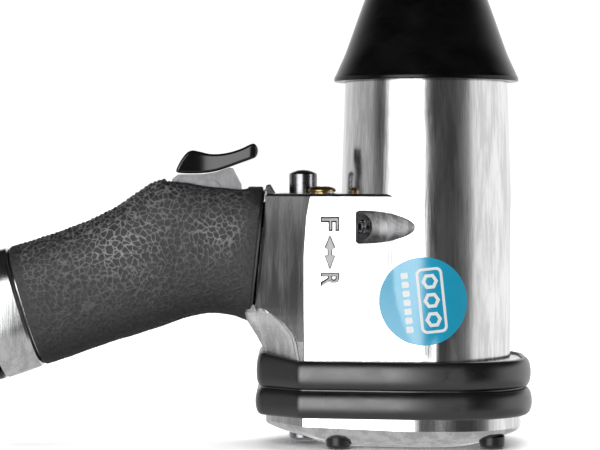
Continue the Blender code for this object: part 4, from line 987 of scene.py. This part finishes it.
def make_grip(mats):
    """The sleeve: raised cell walls on its skin, rough at the back, with its colours as point attributes,
    painted light and painted shade included.
    """
    around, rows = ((560, 400))
    rings = np.array([handle_ring(s, 0.0, around) for s in np.linspace(GRIP_START, GRIP_END, rows)])
    flat = rings.reshape(-1, 3)
    x, y, z = flat.T
    along = np.repeat(np.arange(rows) / (rows - 1), around)
    fade = eased(along, 0.035, 0.03) * eased(-along, -0.985, 0.02)
    off_slot = np.maximum.reduce([SLOT_X[0] - 1.6 - x, x - SLOT_X[1] - 1.6, np.abs(y) - 8.6, 88 - z])
    vein = cell_veins(flat + 0.22 * np.sin(flat[:, [1, 2, 0]] * 2.3), 2.35)
    vein *= fade * eased(off_slot, 0, 0.8)
    # Painted light: the veins' brightness falls off towards the bottom of the sleeve and rises in two painted
    # pools of light.
    painted_light_pool = np.exp(-away(x, -77, 10) - away(z, 80, 9)) + np.exp(-away(x, -112, 16) - away(z, 74, 10))
    painted_light = eased(z - 45 - 0.30 * (x + 110), 0, 26, 0.06) * eased(along, 0.02, 0.10, 0.2)
    painted_light *= 0.45 + 0.85 * np.clip(painted_light_pool, 0, 1)

    normal = outward(rings)
    swell = 0.10 * np.sin(x * 0.55) * fade
    rim = np.clip(1 - along / 0.006, 0, 1) + np.clip(1 - (1 - along) / 0.006, 0, 1)
    rough_back = eased(-x, 88, 8) * eased(normal[:, 2], 0.35, 0.3) * fade
    lumps = np.sin(x * 2.1 + z) * np.sin(y * 1.7 + x * 0.8) + 0.6 * np.sin(x * 3.7)
    lift = vein ** 0.8 * 0.20 - 0.16 - rim * 0.5 + swell * 0.6 + (lumps * 0.22 - 0.15) * rough_back
    outer = flat + normal * lift[:, None]
    # Painted shade: darker where the sleeve faces up or down, and near its root end against the housing.
    dark = 0.10 * eased(normal[:, 2], 0.25, 0.55) + 0.05 * eased(-normal[:, 2], 0.25, 0.5)
    dark += 0.05 * np.clip(1 - along / 0.05, 0, 1)

    inner = np.concatenate([handle_ring(s, GRIP_WALL, around) for s in np.linspace(GRIP_END, GRIP_START, 16)])
    mesh = bpy.data.meshes.new("grip_sleeve")
    mesh.from_pydata(np.concatenate([outer, inner]) * MM, [], ring_faces(around, rows + 16, True))
    # The first attribute holds the veins with painted light on them, the second holds painted shade.
    for name, values in (("vein", vein * painted_light), ("painted_shade", dark)):
        attribute = mesh.attributes.new(name, "FLOAT", "POINT")
        attribute.data.foreach_set("value", np.concatenate([values, np.zeros(len(inner))]).astype(np.float32))
    grip = linked("grip_sleeve", faces_out(mesh))
    left, right = SLOT_X[0] - 0.9, SLOT_X[1] + 0.9
    opening = rounded([(left, -7.2), (right, -7.2), (right, 7.2), (left, 7.2)], [2.5] * 4, [6] * 4)
    cut(grip, prism("opening", opening, 84, 112), sharp=60)
    piece(grip, "housing", "grip_rubber", mats["grip_rubber"], "rubber_grip")


def make_joint_shadow(mats):
    """Painted shade: a black band, shaped as a lip of the sleeve, laid in the joint against the housing where
    there is only shadow.
    """
    rings = [[tuple(p) for p in handle_ring(0.0, inset, 160, shift)]
             for inset, shift in ((3.2, -1.0), (1.3, -1.0), (1.3, 0.5), (3.2, 0.5))]
    joint_shadow = loft("grip_joint_shadow", rings, ring_shaped=True, sharp=40)
    piece(joint_shadow, "housing", "grip_rubber", mats["black_rubber"])


def make_foot(mats):
    deep = (Vector(FRONT_EDGE[-1]) - Vector(BACK_EDGE[-1])).length / 2
    u, v = superellipse(96)
    rings = []
    for inset, z in ((1.2, 0.3), (0.6, 0.6), (0.4, 1.2), (0.45, 4.0), (0.8, 4.8), (1.4, 5.25), (2.0, 5.4)):
        rings.append([(x, y, z) for x, y in zip((deep - inset) * u, (HALF_WIDTH[-1] - inset) * v)])
    deflector = loft("exhaust_cap", rings, matrix=FOOT)
    cutters = [turned("bushing_way", [(0, -3), (9.1, -3), (9.1, 9), (0, 9)], 64, (INLET_AT, 0), FOOT)]
    for k in range(4):
        x = EXHAUST_AT - 5.1 + 3.4 * k
        cutters.append(prism("louvre", bar(x - 0.9, -5.5, x + 0.9, 5.5, 0.85, 6), -3, 9, FOOT))
    cut(deflector, *cutters, sharp=25)
    piece(deflector, "housing", "black_plastic", mats["black_plastic"], "exhaust_deflector")


# ---------------------------------------------------------------- label, emblem and direction marks

def draped(name, outlines, low, high):
    """Flat outlines in x and z, laid on the curved left side as thin solids between two lifts."""
    work = bmesh.new()
    for outline in outlines:
        work.faces.new([work.verts.new((x, z, 0)) for x, z in outline])
    xs = [v.co.x for v in work.verts]
    sliced(work, np.arange(math.floor(min(xs)), math.ceil(max(xs)), 0.9) + 0.013)
    made = bmesh.ops.extrude_face_region(work, geom=work.faces[:])
    top = {v for v in made["geom"] if isinstance(v, bmesh.types.BMVert)}
    for v in work.verts:
        x, z = v.co.x, v.co.y
        v.co = Vector((x, -side_depth(x, z) - (high if v in top else low), z)) * MM
    mesh = bpy.data.meshes.new(name)
    work.to_mesh(mesh)
    work.free()
    return shaded(linked(name, faces_out(mesh)), 30)


def framed(outline, inner):
    """An outline with a hole in it, as two pieces that meet along a cut."""
    n = len(outline)
    halves = []
    for a, b in ((0, n // 2), (n // 2, n)):
        halves.append([outline[i % n] for i in range(a, b + 1)] + [inner[i % n] for i in range(b, a - 1, -1)])
    return halves


def bar(x0, z0, x1, z1, radius, steps=5):
    return rounded([(x0, z0), (x1, z0), (x1, z1), (x0, z1)], [radius] * 4, [steps] * 4)


def regular(x, z, radius, sides):
    return [(x + radius * math.cos(TURN * k / sides), z + radius * math.sin(TURN * k / sides))
            for k in range(sides)]


def make_label(mats):
    spokes, rows = 96, 14
    cx, cz = BADGE_CENTRE
    flat = [point for k in range(1, rows + 1) for point in regular(cx, cz, BADGE_R * k / rows, spokes)]
    flat.append(BADGE_CENTRE)
    points = [(x, -side_depth(x, z) - lift, z) for lift in (0.05, 0.28) for x, z in flat]
    count, edge = len(flat), (rows - 1) * spokes
    faces = []
    for base in (0, count):
        faces += [tuple(base + corner for corner in face) for face in ring_faces(spokes, rows, False)]
        faces += [(base + count - 1, base + i, base + (i + 1) % spokes) for i in range(spokes)]
    faces += [(edge + i, edge + (i + 1) % spokes, count + edge + (i + 1) % spokes, count + edge + i)
              for i in range(spokes)]
    label = solid("label_disc", points, faces, sharp=40)
    piece(label, "housing", "blue_label", mats["blue_label"], "badge")
    emblem = draped("label_emblem", emblem_outlines(cx, cz), 0.2, 0.31)
    piece(emblem, "housing", "blue_label", mats["label_white"])


def emblem_outlines(cx, cz):
    """A leaning frame round three hexagons, beside a row of seven small squares."""
    outlines = framed(bar(cx - 1.2, cz - 12.0, cx + 8.6, cz + 12.0, 2.2),
                      bar(cx - 0.2, cz - 11.0, cx + 7.6, cz + 11.0, 1.4))
    for z in (cz - 7.0, cz, cz + 7.0):
        outlines += framed(regular(cx + 3.7, z, 3.1, 6), regular(cx + 3.7, z, 1.7, 6))
    for k in range(7):
        z = cz - 9.9 + 3.3 * k
        outlines.append(bar(cx - 6.6, z - 1.15, cx - 4.0, z + 1.15, 0.5))
    c, s = math.cos(math.radians(6)), math.sin(math.radians(6))
    return [[(cx + (x - cx) * c + (cz - z) * s - 0.7, cz + (z - cz) * c + (x - cx) * s) for x, z in line]
            for line in outlines]


def text_mark(letter, z, grow, low, high):
    """A letter read from the front end of the tool, laid on the flat side as a thin solid."""
    curve = bpy.data.curves.new(f"mark_{letter}", "FONT")
    curve.body = letter
    curve.size = 9.6 * MM
    curve.extrude = (high - low) / 2 * MM
    curve.offset = grow * MM
    holder = linked(f"mark_{letter}", curve)
    mesh = bpy.data.meshes.new_from_object(holder.evaluated_get(bpy.context.evaluated_depsgraph_get()))
    bpy.data.objects.remove(holder, do_unlink=True)
    across = [v.co.x for v in mesh.vertices]
    up = [v.co.y for v in mesh.vertices]
    reach = grow * MM
    left, foot = min(across) + reach, min(up) + reach
    wide, tall = max(across) - reach - left, max(up) - reach - foot
    for v in mesh.vertices:
        x = MARK_FOOT + MARK_TALL * (v.co.y - foot) / tall
        deep = z - MARK_WIDE * (v.co.x - left) / wide
        out = -side_depth(x, deep) * MM - v.co.z - (low + high) / 2 * MM
        v.co = Vector((x * MM, out, deep * MM))
    return shaded(linked(f"mark_{letter}", faces_out(mesh, 1e-7)), 25)


def widened(x, z):
    """A point of the double arrow moved out from the arrow's middle, for the dark outline round its foot, a
    painted shadow.
    """
    dx, dz = x - ARROW_MIDDLE[0], z - ARROW_MIDDLE[1]
    out = math.copysign(0.32, dx) if abs(dx) > 0.1 else 0.0
    if abs(dz) > 5:
        return x + out, z + math.copysign(0.75, dz)
    return x + out, z + (0.32 if abs(dx) > 1 else 0.0)


def make_marks(mats):
    """Raised direction marks: F, a double arrow and R, each with a painted shadow, a dark sheet, in the
    corner round its foot.
    """
    cx, cz = ARROW_MIDDLE
    barb = [(-1.7, 1.5), (-0.55, 1.0)]
    side = barb + [(x, -z) for x, z in reversed(barb)]
    arrow = [(cx, cz + 5.7)] + [(cx + x, cz + z) for x, z in side] + [(cx, cz - 5.7)]
    arrow += [(cx - x, cz + z) for x, z in reversed(side)]
    raised = [draped("arrow_mark", [arrow], 0.05, 0.42)]
    # Painted shadow: a wider dark sheet under each mark, round its foot.
    rooted = [draped("arrow_root", [[widened(x, z) for x, z in arrow]], -0.2, 0.06)]
    for letter, z in (("F", 85.65), ("R", 65.15)):
        raised.append(text_mark(letter, z, -0.10, 0.0, 0.42))
        rooted.append(text_mark(letter, z, 0.34, -0.2, 0.06))
    for marks, finish in ((raised, "cast_mark"), (rooted, "mark_shadow")):
        for obj in marks:
            piece(obj, "housing", "polished_aluminium", mats[finish])


# ---------------------------------------------------------------- studio

def make_floor():
    mesh = bpy.data.meshes.new("floor")
    size = 6.0
    corners = [(-size, -size, 0), (size, -size, 0), (size, size, 0), (-size, size, 0)]
    mesh.from_pydata(corners, [], [(0, 1, 2, 3)])
    floor = linked("floor", mesh)
    floor.location.z = -0.0003
    made, nodes, links, shader = node_material("floor_paper")
    grain = noise(nodes, links, 220, (1, 1, 1), 3.0, 0.5)
    colours = blended(nodes, links, grain, (0.84, 0.84, 0.84), (0.88, 0.88, 0.88))
    links.new(colours, shader.inputs["Base Color"])
    shader.inputs["Roughness"].default_value = 0.9
    shader.inputs["Specular IOR Level"].default_value = 0.1
    bumped(nodes, links, shader, [(grain, 0.2, 0.1)])
    mesh.materials.append(made)
    floor.visible_glossy = False
    floor.visible_diffuse = False
    return floor


# (azimuth in degrees from the side the left side faces, brightness): the studio's panels and dark cards
PANELS = [(-180, 0.95), (-150, 0.78), (-120, 0.56), (-104, 0.48), (-94, 0.46), (-84, 0.38), (-77, 0.20),
          (-71, 0.09), (-65, 0.07), (-62, 0.14), (-59, 0.5), (-54, 1.3), (-48, 2.4), (-38, 3.7),
          (-26, 3.9), (-14, 3.9), (-8.5, 3.1), (-5, 0.62), (-1, 0.12), (8, 0.06), (36, 0.06), (47, 0.12),
          (58, 0.26), (66, 0.80), (80, 0.95), (120, 1.0), (160, 0.95), (180, 0.95)]


def make_world():
    """Panels and dark cards for reflections, a plain gradient for diffuse light, and white for the camera."""
    world = bpy.data.worlds.new("studio")
    SCENE.world = world
    world.use_nodes = True
    nodes, links = world.node_tree.nodes, world.node_tree.links
    nodes.clear()
    place = nodes.new("ShaderNodeTexCoord")
    split = nodes.new("ShaderNodeSeparateXYZ")
    links.new(place.outputs["Generated"], split.inputs[0])
    up = split.outputs["Z"]
    to_viewer = shader_math(nodes, links, "MULTIPLY", split.outputs["Y"], -1.0)
    azimuth = shader_math(nodes, links, "ARCTAN2", split.outputs["X"], to_viewer)
    ramp = nodes.new("ShaderNodeValToRGB")
    ramp.color_ramp.interpolation = "EASE"
    elements = ramp.color_ramp.elements
    while len(elements) > 1:
        elements.remove(elements[-1])
    for k, (angle, level) in enumerate(PANELS):
        position = (angle + 180) / 360
        element = elements[0] if k == 0 else elements.new(position)
        element.position = position
        element.color = (level, level, level, 1)
    links.new(shader_math(nodes, links, "MULTIPLY_ADD", azimuth, 1 / TURN, 0.5), ramp.inputs["Fac"])

    colour = ramp.outputs["Color"]
    down = shader_math(nodes, links, "MULTIPLY", up, -1.0)
    for height, low, high, level in ((up, 0.26, 0.56, 0.015), (down, 0.20, 0.42, 0.50)):
        share = ranged(nodes, links, height, 0.0, 1.0, low, high)
        share.node.interpolation_type = "SMOOTHSTEP"
        colour = blended(nodes, links, share, colour, (level, level, level))
    gradient = ranged(nodes, links, up, 0.04, 0.80, -0.6, 1.0)
    path = nodes.new("ShaderNodeLightPath")
    lighting = nodes.new("ShaderNodeBackground")
    colour = blended(nodes, links, path.outputs["Is Diffuse Ray"], colour, gradient)
    links.new(colour, lighting.inputs["Color"])
    seen = nodes.new("ShaderNodeBackground")
    seen.inputs["Color"].default_value = (1, 1, 1, 1)
    seen.inputs["Strength"].default_value = 1.05
    mixer = nodes.new("ShaderNodeMixShader")
    links.new(path.outputs["Is Camera Ray"], mixer.inputs["Fac"])
    links.new(lighting.outputs[0], mixer.inputs[1])
    links.new(seen.outputs[0], mixer.inputs[2])
    links.new(mixer.outputs[0], nodes.new("ShaderNodeOutputWorld").inputs["Surface"])


def make_lights(floor):
    """A wide sun that lights only the floor, and a soft disc in front that reflections don't show."""
    sun = bpy.data.lights.new("floor_fill", "SUN")
    sun.energy = 3.6
    sun.angle = math.radians(70)
    fill = linked("floor_fill", sun)
    fill.rotation_euler = (math.radians(-12), math.radians(8), 0)
    group = bpy.data.collections.new("floor_lit")
    group.objects.link(floor)
    fill.light_linking.receiver_collection = group
    data = bpy.data.lights.new("key", "AREA")
    data.shape = "DISK"
    data.size = 0.7
    data.energy = 8
    key = linked("key", data)
    key.location = (-0.34, -0.95, 0.62)
    aim = Vector((-0.09, 0.0, 0.08)) - key.location
    key.rotation_euler = aim.to_track_quat("-Z", "Y").to_euler()
    key.visible_glossy = False


def make_studio():
    floor = make_floor()
    make_world()
    make_lights(floor)


def make_camera():
    data = bpy.data.cameras.new("camera")
    camera = linked("camera", data)
    camera.location = (-0.0479, -0.860, 0.1033)
    camera.rotation_euler = (math.pi / 2, 0, 0)
    data.sensor_width = 36
    data.lens = 2263 * 36 / 600
    data.shift_y = -55 / 600
    data.clip_start, data.clip_end = 0.01, 50
    SCENE.camera = camera


def paint_frame(mats):
    """Gives every CAD node that still shows its finished material."""
    for name, obj in NODES.items():
        if obj.hide_render:
            continue
        slots = [entry["material_slot"] for entry in frame["record"]["subparts"] if entry["node"] == name]
        finish = mats[slots[0]]
        for slot in obj.material_slots:
            slot.material = finish
        if not obj.material_slots:
            obj.data.materials.append(finish)


def main():
    SCENE.view_settings.view_transform = "Standard"
    mats = make_materials()
    make_housing(mats)
    make_rear_cover(mats)
    make_bumper(mats)
    make_screws(mats)
    make_nose(mats)
    make_drive(mats)
    make_reverse(mats)
    make_trigger(mats)
    make_throttle_spring(mats)
    make_grip(mats)
    make_joint_shadow(mats)
    make_foot(mats)
    make_label(mats)
    make_marks(mats)
    paint_frame(mats)
    make_studio()
    make_camera()


main()
